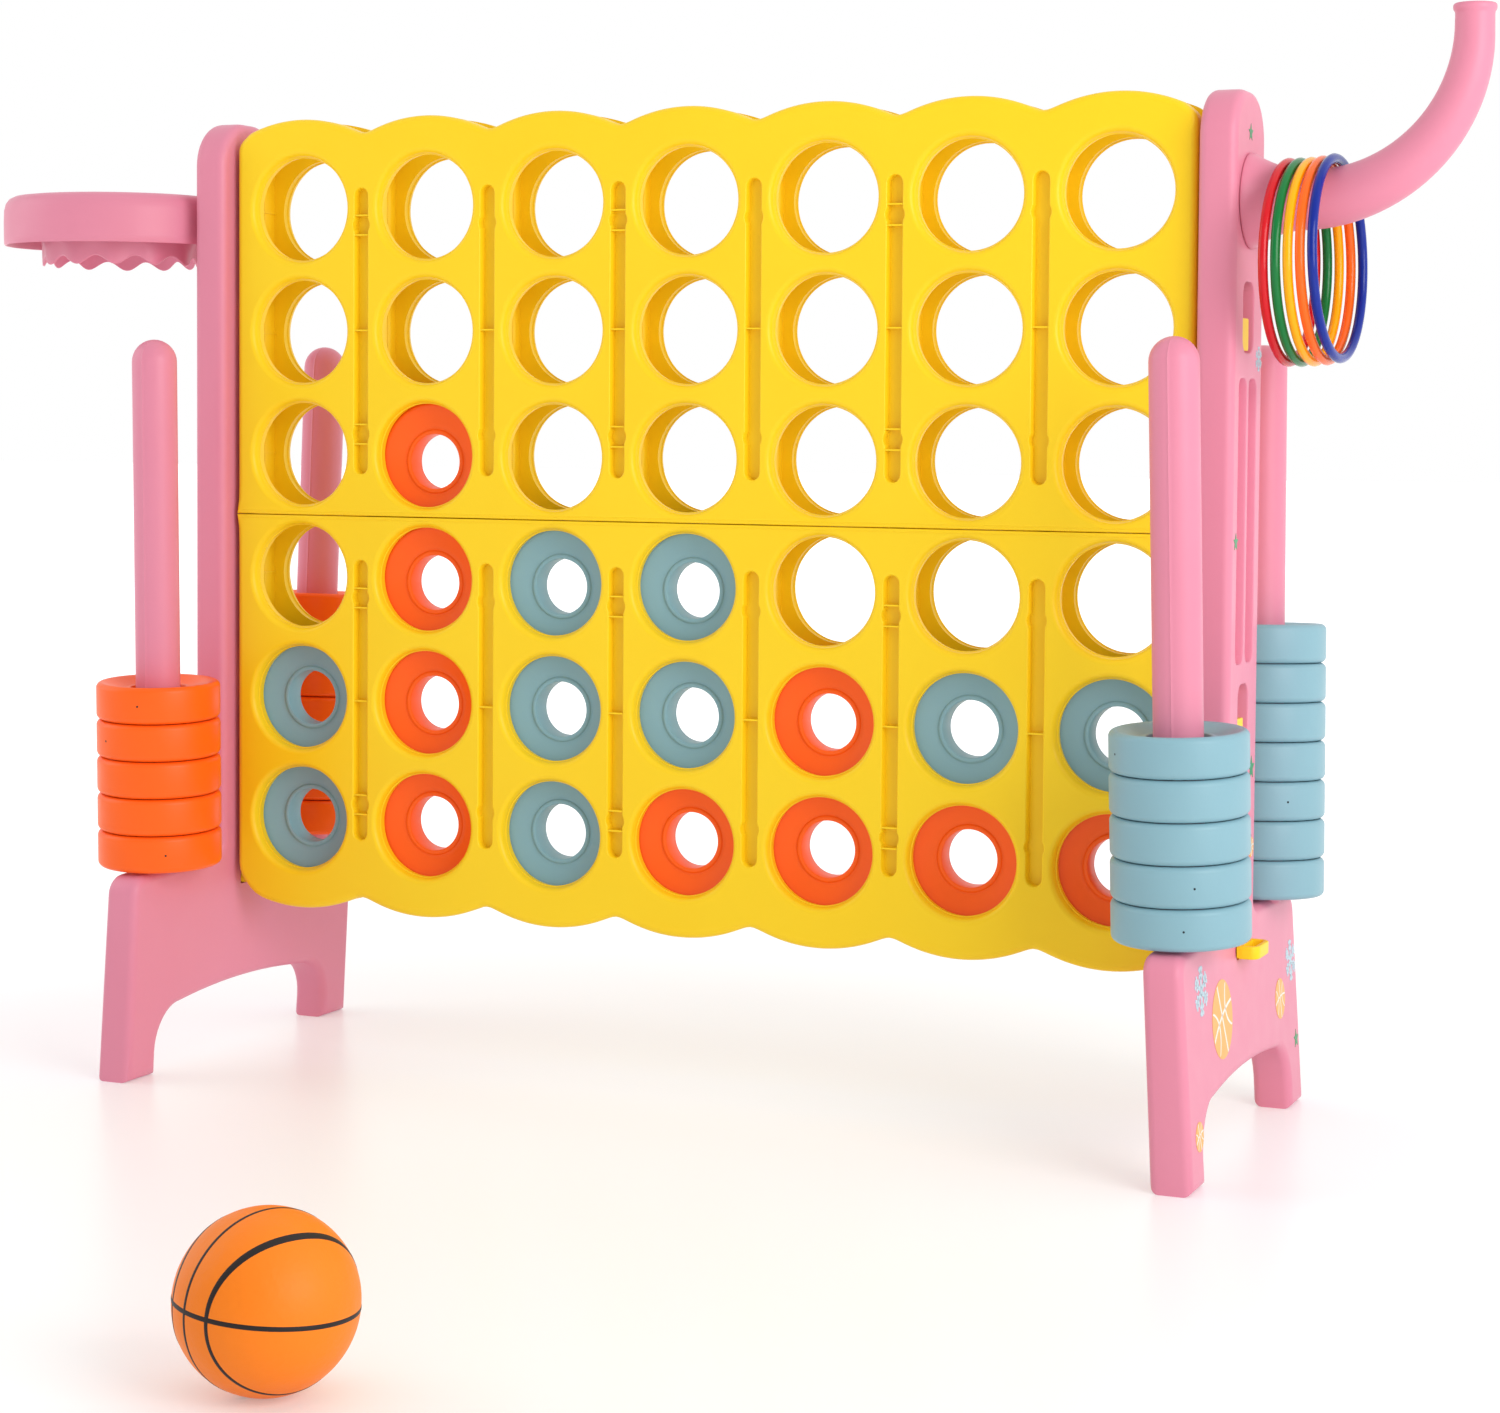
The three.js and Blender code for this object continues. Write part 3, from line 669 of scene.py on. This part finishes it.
def panel(upper):
    """The front panel of one half of the board."""
    build = Build()
    first_row = ROWS_PER_PANEL if upper else 0
    rows = [LOWEST_ROW_Z + (first_row + i) * ROW_PITCH for i in range(ROWS_PER_PANEL)]
    low, high = (SEAM_Z + SEAM_GAP, DIVIDER_TOP_Z) if upper else (DIVIDER_BOTTOM_Z, SEAM_Z - SEAM_GAP)
    groove = UPPER_GROOVE if upper else LOWER_GROOVE

    face, back = panel_skin(build, panel_outline(upper))
    faces, backs = [face], [back]
    for column in range(1, COLUMNS + 1):
        for z in rows:
            face, back = hole_skin(build, column_x(column), z)
            faces.append(face)
            backs.append(back)
    for column in range(1, COLUMNS):
        x = column_x(column) + COLUMN_PITCH / 2
        faces.append(groove_skin(build, x, groove))
        groove_webs(build, x, groove, beside_bosses=column % 2 == 1)
        divider(build, x, low, high)
    build.fill(faces)
    build.fill(backs)

    for side in (-1, 1):
        end_wall(build, side, rows, low, high)
    seam_bead(build, upper)
    tongue(build, upper)
    if not upper:
        ledges(build)
    return build


def board():
    for half, upper in (("upper", True), ("lower", False)):
        shape = panel(upper)
        for face, turn in (("front", 1), ("back", -1)):
            made = shape.object(
                f"{half}_{face}_moulding",
                [YELLOW],
                to_frame=lambda p, s=turn: in_frame(s * p.x, s * p.y, p.z),
            )
            finish_piece(made, "stand", "yellow_plastic", f"{half}_{face}_panel")


# ---- End frames ----
def arch_outline():
    """The arch between the two feet, from its left foot to its right, in y and z."""
    side, corner = ARCH_SIDE_Z, ARCH_CORNER
    span = ARCH_HALF_SPAN - corner
    points = [(-ARCH_HALF_SPAN, 0)]
    points += arc((-span, side - corner), corner, 180, 90, 10)
    for i in range(1, ARCH_STEPS):
        y = -span + 2 * span * i / ARCH_STEPS
        points.append((y, side + (ARCH_CROWN_Z - side) * (1 - (y / span) ** 2)))
    points += arc((span, side - corner), corner, 90, 0, 10)
    points.append((ARCH_HALF_SPAN, 0))
    return points


def frame_outline():
    """The end frame's outline in y and z, anticlockwise, as its base part and its post part."""
    s, corner = BASE_HALF_SPAN, BASE_CORNER
    d, fillet = POST_HALF_DEPTH, POST_FILLET
    base = [(-s, 0)] + arch_outline() + [(s, 0), (s, 60), (s, 120)]
    # The shoulder rises a little towards the post.
    base += arc((s - corner, BASE_SHOULDER_Z - 2 - corner), corner, 0, 90, 7)
    base += [(s - 60, BASE_SHOULDER_Z), (d + fillet + 6, BASE_SHOULDER_Z + 2.5)]
    turn = arc((d + fillet, BASE_SHOULDER_Z + 3 + fillet), fillet, 270, 180, 6)
    base += turn[:4]
    post = turn[4:] + [(d, z) for z in (260, 380, 500, 620, 740, 840)]
    post += arc((d - POST_CORNER, POST_TOP_Z - POST_CORNER), POST_CORNER, 0, 90, 12)
    post += [(-y, z) for y, z in reversed(post)]
    return base, post


def outer_face(y, z, depth=0.0):
    """A point of the right-hand frame at a depth below its outer face."""
    return (POST_OUTER_X + OUTER_SPLAY * max(0.0, BEND_Z - z) - depth, y, z)


def inner_face(y, z, depth=0.0):
    """A point of the right-hand frame at a depth below its inner face."""
    return (POST_INNER_X + INNER_SPLAY * max(0.0, BEND_Z - z) + depth, y, z)


def face_ring(face, outline, move, depth):
    """The outline moved inwards, at a depth below one of the frame's two faces."""
    return [face(y, z, depth) for y, z in inset(outline, [move] * len(outline))]


def frame_openings():
    """Each cut in the right-hand frame: its outline, its depth (None goes through) and its part."""
    cuts = [(slot_outline(*shape), depth, "post") for *shape, depth in POST_CUTS]
    cuts.append((slot_outline(*PULL_SLOT, steps=2), None, "base"))
    return cuts


def end_frame(side):
    build = Build()
    base, post = frame_outline()
    left_base = [(-y, z) for y, z in reversed(base[len(arch_outline()) + 1 :])]
    outline = base + post + left_base[:-1]
    first_post, last_post = len(base), len(base) + len(post) - 1
    edge = [(FRAME_ROUND + 0.5, 0)] + rounding(FRAME_ROUND, 5)
    rings = [face_ring(outer_face, outline, move, depth) for move, depth in edge]
    rings += [face_ring(inner_face, outline, move, depth) for move, depth in reversed(edge)]
    made = build.skin(rings)

    # Each part's cuts, as the loops at its outer face and those at its inner face.
    cuts = {"post": ([], []), "base": ([], [])}
    for shape, depth, part in frame_openings():
        rings = [face_ring(outer_face, shape, -grow, down) for grow, down in SLOT_LIP]
        if depth:
            cut = build.skin(rings + [face_ring(outer_face, shape, 0.8, depth)])
            build.fill([cut[-1]])
        else:
            cut = build.skin(rings + [face_ring(inner_face, shape, 0, 0)])
            cuts[part][1].append(cut[-1])
        cuts[part][0].append(cut[0])

    for which, ring in ((0, made[0]), (1, made[-1])):
        post_loop = ring[first_post : last_post + 1]
        # The post's lowest chord is in both loops, so the face bends there.
        base_loop = ring[: first_post + 1] + ring[last_post:]
        build.fill([post_loop] + cuts["post"][which])
        build.fill([base_loop] + cuts["base"][which])
    return build.object(
        ("right" if side > 0 else "left") + "_frame_moulding",
        [PINK],
        to_frame=lambda p: in_frame(side * p.x, side * p.y, p.z),
    )


def rod_axis(end, side):
    """A rod's foot, in millimetres, and its direction, from the frame's own joints and boxes."""
    low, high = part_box(f"{end}_{side}_rod")
    joint = next(j for j in frame["joints"] if j["name"].startswith(f"{end}_{side}_"))
    direction = Vector(joint["axis"]).normalized()
    middle_to_top = (high.z - low.z) / 2 / MM
    return from_board((low + high) / 2) - direction * (ROD_LENGTH - middle_to_top), direction


def rod(end, side):
    """A tall round peg with a domed top and a fine parting line down its front and back."""
    build = Build()
    foot, direction = rod_axis(end, side)
    line = math.radians(ROD_PARTING_HALF_ANGLE)
    angles = []
    for centre in (-math.pi / 2, math.pi / 2):
        angles += [centre - line, centre, centre + line]
        angles += [centre + math.pi * i / 24 for i in range(1, 24)]

    def parting(angle):
        on_line = abs(abs(math.sin(angle)) - 1) < 1e-6
        return ROD_PARTING_RISE if on_line else 0.0

    r = ROD_RADIUS
    profile = [(0, -6), (r - 1.5, -6), (r - 1.5, 0.2), (r, 0.6), (r, 120), (r, 260), (r, 400)]
    profile += [(u, ROD_LENGTH - r + v) for u, v in arc((0, 0), r, 0, 80, 8)]
    profile.append((0, ROD_LENGTH))
    build.turn(profile, angles, swell=parting)
    upright = Vector((0, 0, 1)).rotation_difference(direction)
    made = build.object(
        f"{end}_{side}_peg",
        [PINK],
        to_frame=lambda p: in_frame(*(foot + upright @ p)),
    )
    finish_piece(made, "stand", "pink_plastic", f"{end}_{side}_rod")


def slider(name, side):
    """A flat bar with a round-cornered pull loop at its outer end."""
    build = Build()
    low, high = SLIDER_Z
    middle, half_height = (low + high) / 2, (high - low) / 2
    tip, near, far = SLIDER_X
    rings = []
    for x, half in ((tip, SLIDER_HALF - 1.2), (near, SLIDER_HALF), (far, SLIDER_HALF)):
        rings.append([(x, y, z) for y, z in slot_outline((0, middle), half, half_height, 1.6, 3)])
    build.closed_skin(rings)

    corner_y = PULL_HALF - PULL_BEND
    path = [(PULL_ROOT_X, -PULL_HALF)] + arc((PULL_BEND_X, -corner_y), PULL_BEND, 270, 360, 6)[1:]
    path += arc((PULL_BEND_X, corner_y), PULL_BEND, 0, 90, 6) + [(PULL_ROOT_X, PULL_HALF)]
    section = slot_outline((0, middle), PULL_WALL_HALF, half_height, 1.5, 3)
    rings = []
    for i, (x, y) in enumerate(path):
        ax, ay = path[max(i - 1, 0)]
        bx, by = path[min(i + 1, len(path) - 1)]
        length = math.hypot(bx - ax, by - ay)
        nx, ny = (by - ay) / length, (ax - bx) / length
        ring = []
        for u, v in section:
            out = u - PULL_WALL_HALF
            ring.append((x + nx * out, y + ny * out, v))
        rings.append(ring)
    build.closed_skin(rings)
    build.box((527.6, -PULL_HALF, low + 0.6), (531.9, PULL_HALF, high - 0.6), soft=1.2)
    made = build.object(
        f"{name}_slide_bar",
        [YELLOW],
        to_frame=lambda p: in_frame(side * p.x, side * p.y, p.z),
    )
    finish_piece(made, f"{name}_slider", "yellow_plastic", f"{name}_slider")


def end_frames():
    for name, side in (("left", -1), ("right", 1)):
        finish_piece(end_frame(side), "stand", "pink_plastic", f"{name}_end_frame")
        for end in ("front", "rear"):
            rod(end, name)
        slider(name, side)


# ---- Horn, hoop and rings ----
def sweep(build, stations, sides=64):
    """Round sections square to a path in x and z: each station is x, z, angle in degrees and radius."""
    rings = []
    for x, z, degrees, radius in stations:
        a = math.radians(degrees)
        ring = []
        for t in circle_angles(sides):
            rise = radius * math.sin(t)
            ring.append((x - rise * math.sin(a), radius * math.cos(t), z + rise * math.cos(a)))
        rings.append(ring)
    return build.skin(rings)


def horn():
    """The curved ring-toss horn, with a dished flange on the post and an open lipped mouth."""
    build = Build()
    face = POST_OUTER_X + 0.3
    flange = face + 2.2
    stations = [(face, HORN_Z, 0, 38), (face, HORN_Z, 0, 41.3), (face + 0.7, HORN_Z, 0, 41.9)]
    stations.append((flange, HORN_Z, 0, 41.9))
    for i in range(1, 13):
        t = i / 12
        radius = HORN_ROOT_RADIUS + HORN_FLANGE_FLARE * (1 - t) ** 1.8
        stations.append((flange + HORN_FLANGE_LENGTH * t, HORN_Z, 0, radius))
    steps = 40
    for i in range(steps + 1):
        t = i / steps
        a = math.radians(90 * t)
        x = HORN_BEND_X + HORN_BEND * math.sin(a)
        z = HORN_Z + HORN_BEND * (1 - math.cos(a))
        stations.append((x, z, 90 * t, HORN_ROOT_RADIUS - HORN_TAPER * t))
    top_x = HORN_BEND_X + HORN_BEND
    stations += [(top_x, z, 90, radius) for z, radius in HORN_MOUTH]
    rings = sweep(build, stations)
    build.fill([rings[0]])
    build.fan(rings[-1], build.loop([(top_x, 0, HORN_FLOOR_Z)])[0])
    finish_piece(build.object("horn_moulding", [PINK]), "stand", "pink_plastic", "horn")


def toss_ring(node, material, lean):
    """A thin ring hung by its top, turned a little towards the front and leaning out at the bottom."""
    low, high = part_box(node)
    hanger = Vector((0, 0, TOSS_RING_RADIUS))
    top = from_board((low + high) / 2) + hanger
    build = Build()
    rings = []
    for a in circle_angles(160):
        ring = []
        for t in circle_angles(20):
            seam = TOSS_RING_PARTING if t == 0 else 0.0
            reach = TOSS_RING_RADIUS + (TOSS_RING_TUBE + seam) * math.cos(t)
            ring.append((TOSS_RING_TUBE * math.sin(t) * 0.98, reach * math.sin(a), reach * math.cos(a)))
        rings.append(ring)
    build.ring_skin(rings)
    turn = Matrix.Rotation(math.radians(TOSS_RING_TURN), 3, "Z")
    turn = turn @ Matrix.Rotation(math.radians(lean), 3, "Y")
    made = build.object(
        node + "_hoop",
        [material],
        to_frame=lambda p: in_frame(*(top + turn @ (p - hanger))),
    )
    finish_piece(made, node, node, node)


def toss_rings():
    for i, (name, material) in enumerate(RING_COLOURS.items()):
        toss_ring(f"{name}_toss_ring", material, TOSS_RING_LEAN * i)


def hoop():
    """A deep round rim, open below, with a short wavy net moulded inside it."""
    build = Build()
    angles = circle_angles(HOOP_SIDES)

    def level_ring(r, z):
        return [(HOOP_X + r * math.cos(a), r * math.sin(a), z) for a in angles]

    def net_ring(r, drop):
        ring = []
        for a in angles:
            z = NET_Z - NET_SWING * math.cos(NET_WAVES * a) - drop
            reach = r + NET_RIPPLE * math.cos(NET_WAVES * a + 0.6)
            ring.append((HOOP_X + reach * math.cos(a), reach * math.sin(a), z))
        return ring

    rings = [level_ring(r, z) for r, z in HOOP_RIM]
    rings += [net_ring(r, drop) for r, drop in NET_EDGE]
    rings += [level_ring(r, z) for r, z in HOOP_UNDERSIDE]
    build.ring_skin(rings)
    low, high = HOOP_ARM_Z
    build.box((HOOP_X + 113, -HOOP_ARM_HALF, low), (-POST_OUTER_X - 0.4, HOOP_ARM_HALF, high), soft=5)
    finish_piece(build.object("hoop_moulding", [PINK]), "stand", "pink_plastic", "hoop")


# ---- Discs ----
def disc_profile():
    """Half of a disc's section, from its bore to its rim, as (radius, height) above its middle."""
    half, bore = DISC_THICKNESS / 2, DISC_BORE
    # A raised lip round the bore, a shallow dish, and a flank that rises to the rim.
    points = [(bore, 0), (bore, half - 7.4), (bore + 0.5, half - 6.4), (bore + 1.6, half - 5.9)]
    points += [(29.8, half - 5.9), (30.8, half - 6.4), (31.4, half - 7.2), (32.6, half - 7.4)]
    points += [(36, half - 6.4), (42, half - 4.3), (48, half - 2.2), (51.2, half - 1.0)]
    points += arc((DISC_RADIUS - DISC_CORNER, half - DISC_CORNER), DISC_CORNER, 78, 6, 7)
    points.append((DISC_RADIUS, 0))
    return points


def disc_mesh(build, pin):
    """A ring-shaped disc about its own z axis. If pin is set, its rim holds a dark plug whose colour is painted
    shade standing in for a pin hole.
    """
    upper = disc_profile()
    profile = upper + [(r, -h) for r, h in reversed(upper[1:-1])]
    loops = build.turn(profile, circle_angles(96))
    build.bridge(loops[-1], loops[0])
    if pin:
        # The pin hole is a shallow dark plug in the rim, not a real hole. Its colour is painted shade.
        build.mark = 1
        rim = circle(0, 0, PIN_HOLE_RADIUS, 14)
        build.closed_skin([[(x, y, z) for y, z in rim] for x in (DISC_RADIUS + 0.05, DISC_RADIUS - 0.8)])
        build.mark = 0


def put_disc(name, node, centre, axis, spin, pin=False, stands_in=True):
    """A disc of the node's colour, riding on its body, with its own z along axis after a spin about it."""
    build = Build()
    disc_mesh(build, pin)
    turn = axis.to_track_quat("Z", "Y") @ Quaternion((0, 0, 1), spin)
    slot = next(s["material_slot"] for s in frame["record"]["subparts"] if s["node"] == node)
    look = DISC_LOOKS[slot]
    made = build.object(
        name,
        [look, PAINTED_PIN_HOLE_SHADE] if pin else [look],
        to_frame=lambda p: in_frame(*(centre + turn @ p)),
    )
    finish_piece(made, node, slot, *([node] if stands_in else []))


def discs():
    rng = random.Random(4)
    for node in sorted(frame["nodes"]):
        if "disc" not in node:
            continue
        spin = rng.uniform(0, 2 * math.pi)
        low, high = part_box(node)
        centre = from_board((low + high) / 2)
        if node.startswith("column"):
            put_disc(node + "_ring", node, centre, Vector((0, -1, 0)), spin)
            continue
        joint = next(j for j in frame["joints"] if j["child"] == node)
        axis = Vector(joint["axis"]).normalized()
        if not node.endswith("lower_discs"):
            put_disc(node + "_ring", node, centre, axis, spin, pin=True)
            continue
        # The pile of three is one node, which its middle disc stands for.
        for i in (-1, 0, 1):
            name = node.replace("lower_discs", f"disc{i + 2}_ring")
            middle = centre + axis * (i * (DISC_THICKNESS + DISC_GAP))
            put_disc(name, node, middle, axis, spin + i, pin=True, stands_in=i == 0)


# ---- Ball ----
def ball_seam(build, points, narrow, wide):
    """A raised seam along a closed curve on the unit sphere, narrow at mid-height and wide at the top."""
    rings = []
    for i, p in enumerate(points):
        ahead = (points[(i + 1) % len(points)] - points[i - 1]).normalized()
        across = p.cross(ahead).normalized()
        width = narrow + (wide - narrow) * max(0.0, p.z)
        ring = []
        for offset, lift in BALL_SEAM_SECTION:
            at = (p + across * (offset * width / BALL_RADIUS)).normalized()
            ring.append(at * (BALL_RADIUS + lift))
        rings.append(ring)
    build.ring_skin(rings)


def ball():
    build = Build()
    low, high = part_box("ball")
    centre = from_board((low + high) / 2)
    centre.z = BALL_RADIUS
    profile = [(0, -BALL_RADIUS)] + arc((0, 0), BALL_RADIUS, -87, 87, 58) + [(0, BALL_RADIUS)]
    build.turn(profile, circle_angles(120))

    # The pole is the middle of one side panel, and the ball's upright leans a little.
    upright, bearing = BALL_UPRIGHT, math.radians(BALL_POLE_BEARING)
    pole = Vector((math.sin(bearing), -math.cos(bearing), 0))
    pole = (pole - upright * pole.dot(upright)).normalized()
    level = upright.cross(pole)
    turns = circle_angles(180)
    build.mark = 1
    for across, width in ((pole, BALL_GIRTH_WIDTH), (upright, BALL_MERIDIAN_WIDTH)):
        ball_seam(build, [level * math.cos(t) + across * math.sin(t) for t in turns], width, width)
    mean, swing = BALL_ARC_REACH
    for sign in (1, -1):
        curve = []
        for t in turns:
            reach = math.radians(mean + swing * math.cos(2 * t))
            flat = level * math.cos(t) + upright * math.sin(t)
            curve.append(pole * (sign * math.cos(reach)) + flat * math.sin(reach))
        ball_seam(build, curve, *BALL_ARC_WIDTHS)
    build.mark = 0
    made = build.object(
        "ball_skin",
        [BALL_SKIN, BALL_SEAM],
        to_frame=lambda p: in_frame(*(centre + p)),
    )
    finish_piece(made, "ball", "ball_rubber", "ball")


# ---- Stickers ----
def plate(build, outline, lift):
    """A thin flat shape on the right-hand frame's outer face, standing lift proud of it."""
    build.closed_skin([[outer_face(y, z, -height) for y, z in outline] for height in (lift, 0.02)])


def sticker(name, outlines, material, overlays=(), overlay_material=None):
    """One piece of flat shapes, with finer shapes in a second material on top of them."""
    build = Build()
    for outline in outlines:
        plate(build, outline, STICKER_LIFT)
    build.mark = 1
    for outline in overlays:
        plate(build, outline, OVERLAY_LIFT)
    materials = [material, overlay_material] if overlays else [material]
    finish_piece(build.object(name, materials), "stand", "pink_plastic")


def star(y, z, size):
    points = []
    for i in range(10):
        r = size if i % 2 == 0 else size * 0.45
        a = math.radians(90 + 36 * i)
        points.append((y + r * math.cos(a), z + r * math.sin(a)))
    return points


def strip(y, z, angle, start, end, half):
    """A thin rectangle from start to end along a direction from a point."""
    c, s = math.cos(angle), math.sin(angle)
    corners = ((start, -half), (end, -half), (end, half), (start, half))
    return [(y + u * c - v * s, z + u * s + v * c) for u, v in corners]


def snowflake(y, z, size):
    """Six arms with two pairs of twigs each, round a small hub."""
    shapes = []
    for i in range(6):
        a = math.radians(60 * i + 30)
        shapes.append(strip(y, z, a, size * 0.12, size, size * 0.1))
        for share in (0.45, 0.72):
            root = (y + size * share * math.cos(a), z + size * share * math.sin(a))
            for turn in (-50, 50):
                twig = a + math.radians(turn)
                shapes.append(strip(*root, twig, size * 0.04, size * 0.34, size * 0.075))
    shapes.append(circle(y, z, size * 0.2, 12))
    return shapes


def seam_band(radius, near, far, half):
    """A narrow seam up a ball sticker, near from its middle at mid-height and far from it at both ends."""
    reach = math.sqrt((0.97 * radius) ** 2 - (abs(far) + half) ** 2)
    side = []
    for i in range(13):
        t = -1 + i / 6
        side.append((near + (far - near) * t * t, t * reach))
    return [(u - half, v) for u, v in side] + [(u + half, v) for u, v in reversed(side)]


def ball_seams(y, z, radius, lean):
    """A ball sticker's four seams: one across and three up, turned by lean degrees."""
    half = max(0.7, radius * 0.04)
    seams = [[(v, u) for u, v in seam_band(radius, 0.1 * radius, -0.04 * radius, half)]]
    for way in (-1, 0, 1):
        seams.append(seam_band(radius, way * 0.36 * radius, way * 0.7 * radius, half))
    c, s = math.cos(math.radians(lean)), math.sin(math.radians(lean))
    return [[(y + u * c - v * s, z + u * s + v * c) for u, v in seam] for seam in seams]


def stickers():
    sticker("star_stickers", [star(*place) for place in STARS], DECAL_STAR)
    flakes = [shape for place in SNOWFLAKES for shape in snowflake(*place)]
    sticker("snowflake_stickers", flakes, DECAL_FLAKE)
    balls = [circle(y, z, radius, 40) for y, z, radius, _ in BALL_STICKERS]
    seams = [seam for place in BALL_STICKERS for seam in ball_seams(*place)]
    sticker("ball_stickers", balls, DECAL_BALL, seams, DECAL_WHITE)


# ---- Floor, light and camera ----
def floor():
    mesh = bpy.data.meshes.new("floor")
    r = FLOOR_REACH
    mesh.from_pydata([(-r, -r, 0), (r, -r, 0), (r, r, 0), (-r, r, 0)], [], [(0, 1, 2, 3)])
    made = bpy.data.objects.new("floor", mesh)
    bpy.context.scene.collection.objects.link(made)
    material = bpy.data.materials.new("floor_white")
    material.use_nodes = True
    tree = material.node_tree
    shader = tree.nodes["Principled BSDF"]
    shader.inputs["Base Color"].default_value = (FLOOR_GREY, FLOOR_GREY, FLOOR_GREY, 1)
    shader.inputs["Roughness"].default_value = 0.32
    shader.inputs["Specular IOR Level"].default_value = 0.35
    shader.inputs["Emission Color"].default_value = (1, 1, 1, 1)
    place = tree.nodes.new("ShaderNodeTexCoord")
    away = tree.nodes.new("ShaderNodeVectorMath")
    away.operation = "LENGTH"
    tree.links.new(place.outputs["Object"], away.inputs[0])
    glow = map_range(tree, away.outputs["Value"], FLOOR_FADE)
    tree.links.new(glow, shader.inputs["Emission Strength"])
    mesh.materials.append(material)


def area_light(name, at, power):
    """A square light that points at the middle of the board."""
    data = bpy.data.lights.new(name, "AREA")
    data.shape = "RECTANGLE"
    data.size, data.size_y = LIGHT_SIDE, LIGHT_SIDE
    data.energy = power
    light = bpy.data.objects.new(name, data)
    light.location = in_frame(*at)
    light.rotation_mode = "QUATERNION"
    light.rotation_quaternion = (in_frame(*LIGHT_AIM) - in_frame(*at)).to_track_quat("-Z", "Y")
    bpy.context.scene.collection.objects.link(light)


def surroundings():
    """A white backdrop all round, whose light is dimmer on the side that faces the board's front."""
    world = bpy.data.worlds.new("studio")
    bpy.context.scene.world = world
    world.use_nodes = True
    tree = world.node_tree
    nodes, links = tree.nodes, tree.links
    sky = nodes["Background"]
    sky.inputs["Color"].default_value = (1, 1, 1, 1)
    place = nodes.new("ShaderNodeTexCoord")
    split = nodes.new("ShaderNodeSeparateXYZ")
    links.new(place.outputs["Generated"], split.inputs["Vector"])
    seen = nodes.new("ShaderNodeLightPath")
    strength = nodes.new("ShaderNodeMath")
    strength.operation = "MAXIMUM"
    links.new(map_range(tree, split.outputs["Y"], SKY_FADE), strength.inputs[0])
    links.new(seen.outputs["Is Camera Ray"], strength.inputs[1])
    links.new(strength.outputs["Value"], sky.inputs["Strength"])


def lights():
    surroundings()
    for name, (at, power) in LIGHTS.items():
        area_light(name, at, power)


def studio_look():
    """White stays white and colours keep their strength."""
    bpy.context.scene.view_settings.view_transform = "Standard"


def camera():
    """Looks at the board from its right, turned by yaw, pitch and roll."""
    yaw, pitch, roll = (math.radians(a) for a in CAMERA_TURN)
    ahead = Vector((-math.sin(yaw) * math.cos(pitch), math.cos(yaw) * math.cos(pitch), -math.sin(pitch)))
    level = Vector((math.cos(yaw), math.sin(yaw), 0))
    upright = level.cross(ahead)
    right = level * math.cos(roll) + upright * math.sin(roll)
    up = upright * math.cos(roll) - level * math.sin(roll)
    data = bpy.data.cameras.new("camera")
    data.sensor_width = 36
    data.lens = CAMERA_LENS
    data.shift_x, data.shift_y = CAMERA_SHIFT
    made = bpy.data.objects.new("camera", data)
    bpy.context.scene.collection.objects.link(made)
    turn = Matrix((right, up, -ahead)).transposed().to_4x4()
    made.matrix_world = Matrix.Translation(in_frame(*CAMERA_AT)) @ turn
    bpy.context.scene.camera = made


studio_look()
camera()
lights()
floor()
board()
end_frames()
horn()
hoop()
toss_rings()
discs()
ball()
stickers()
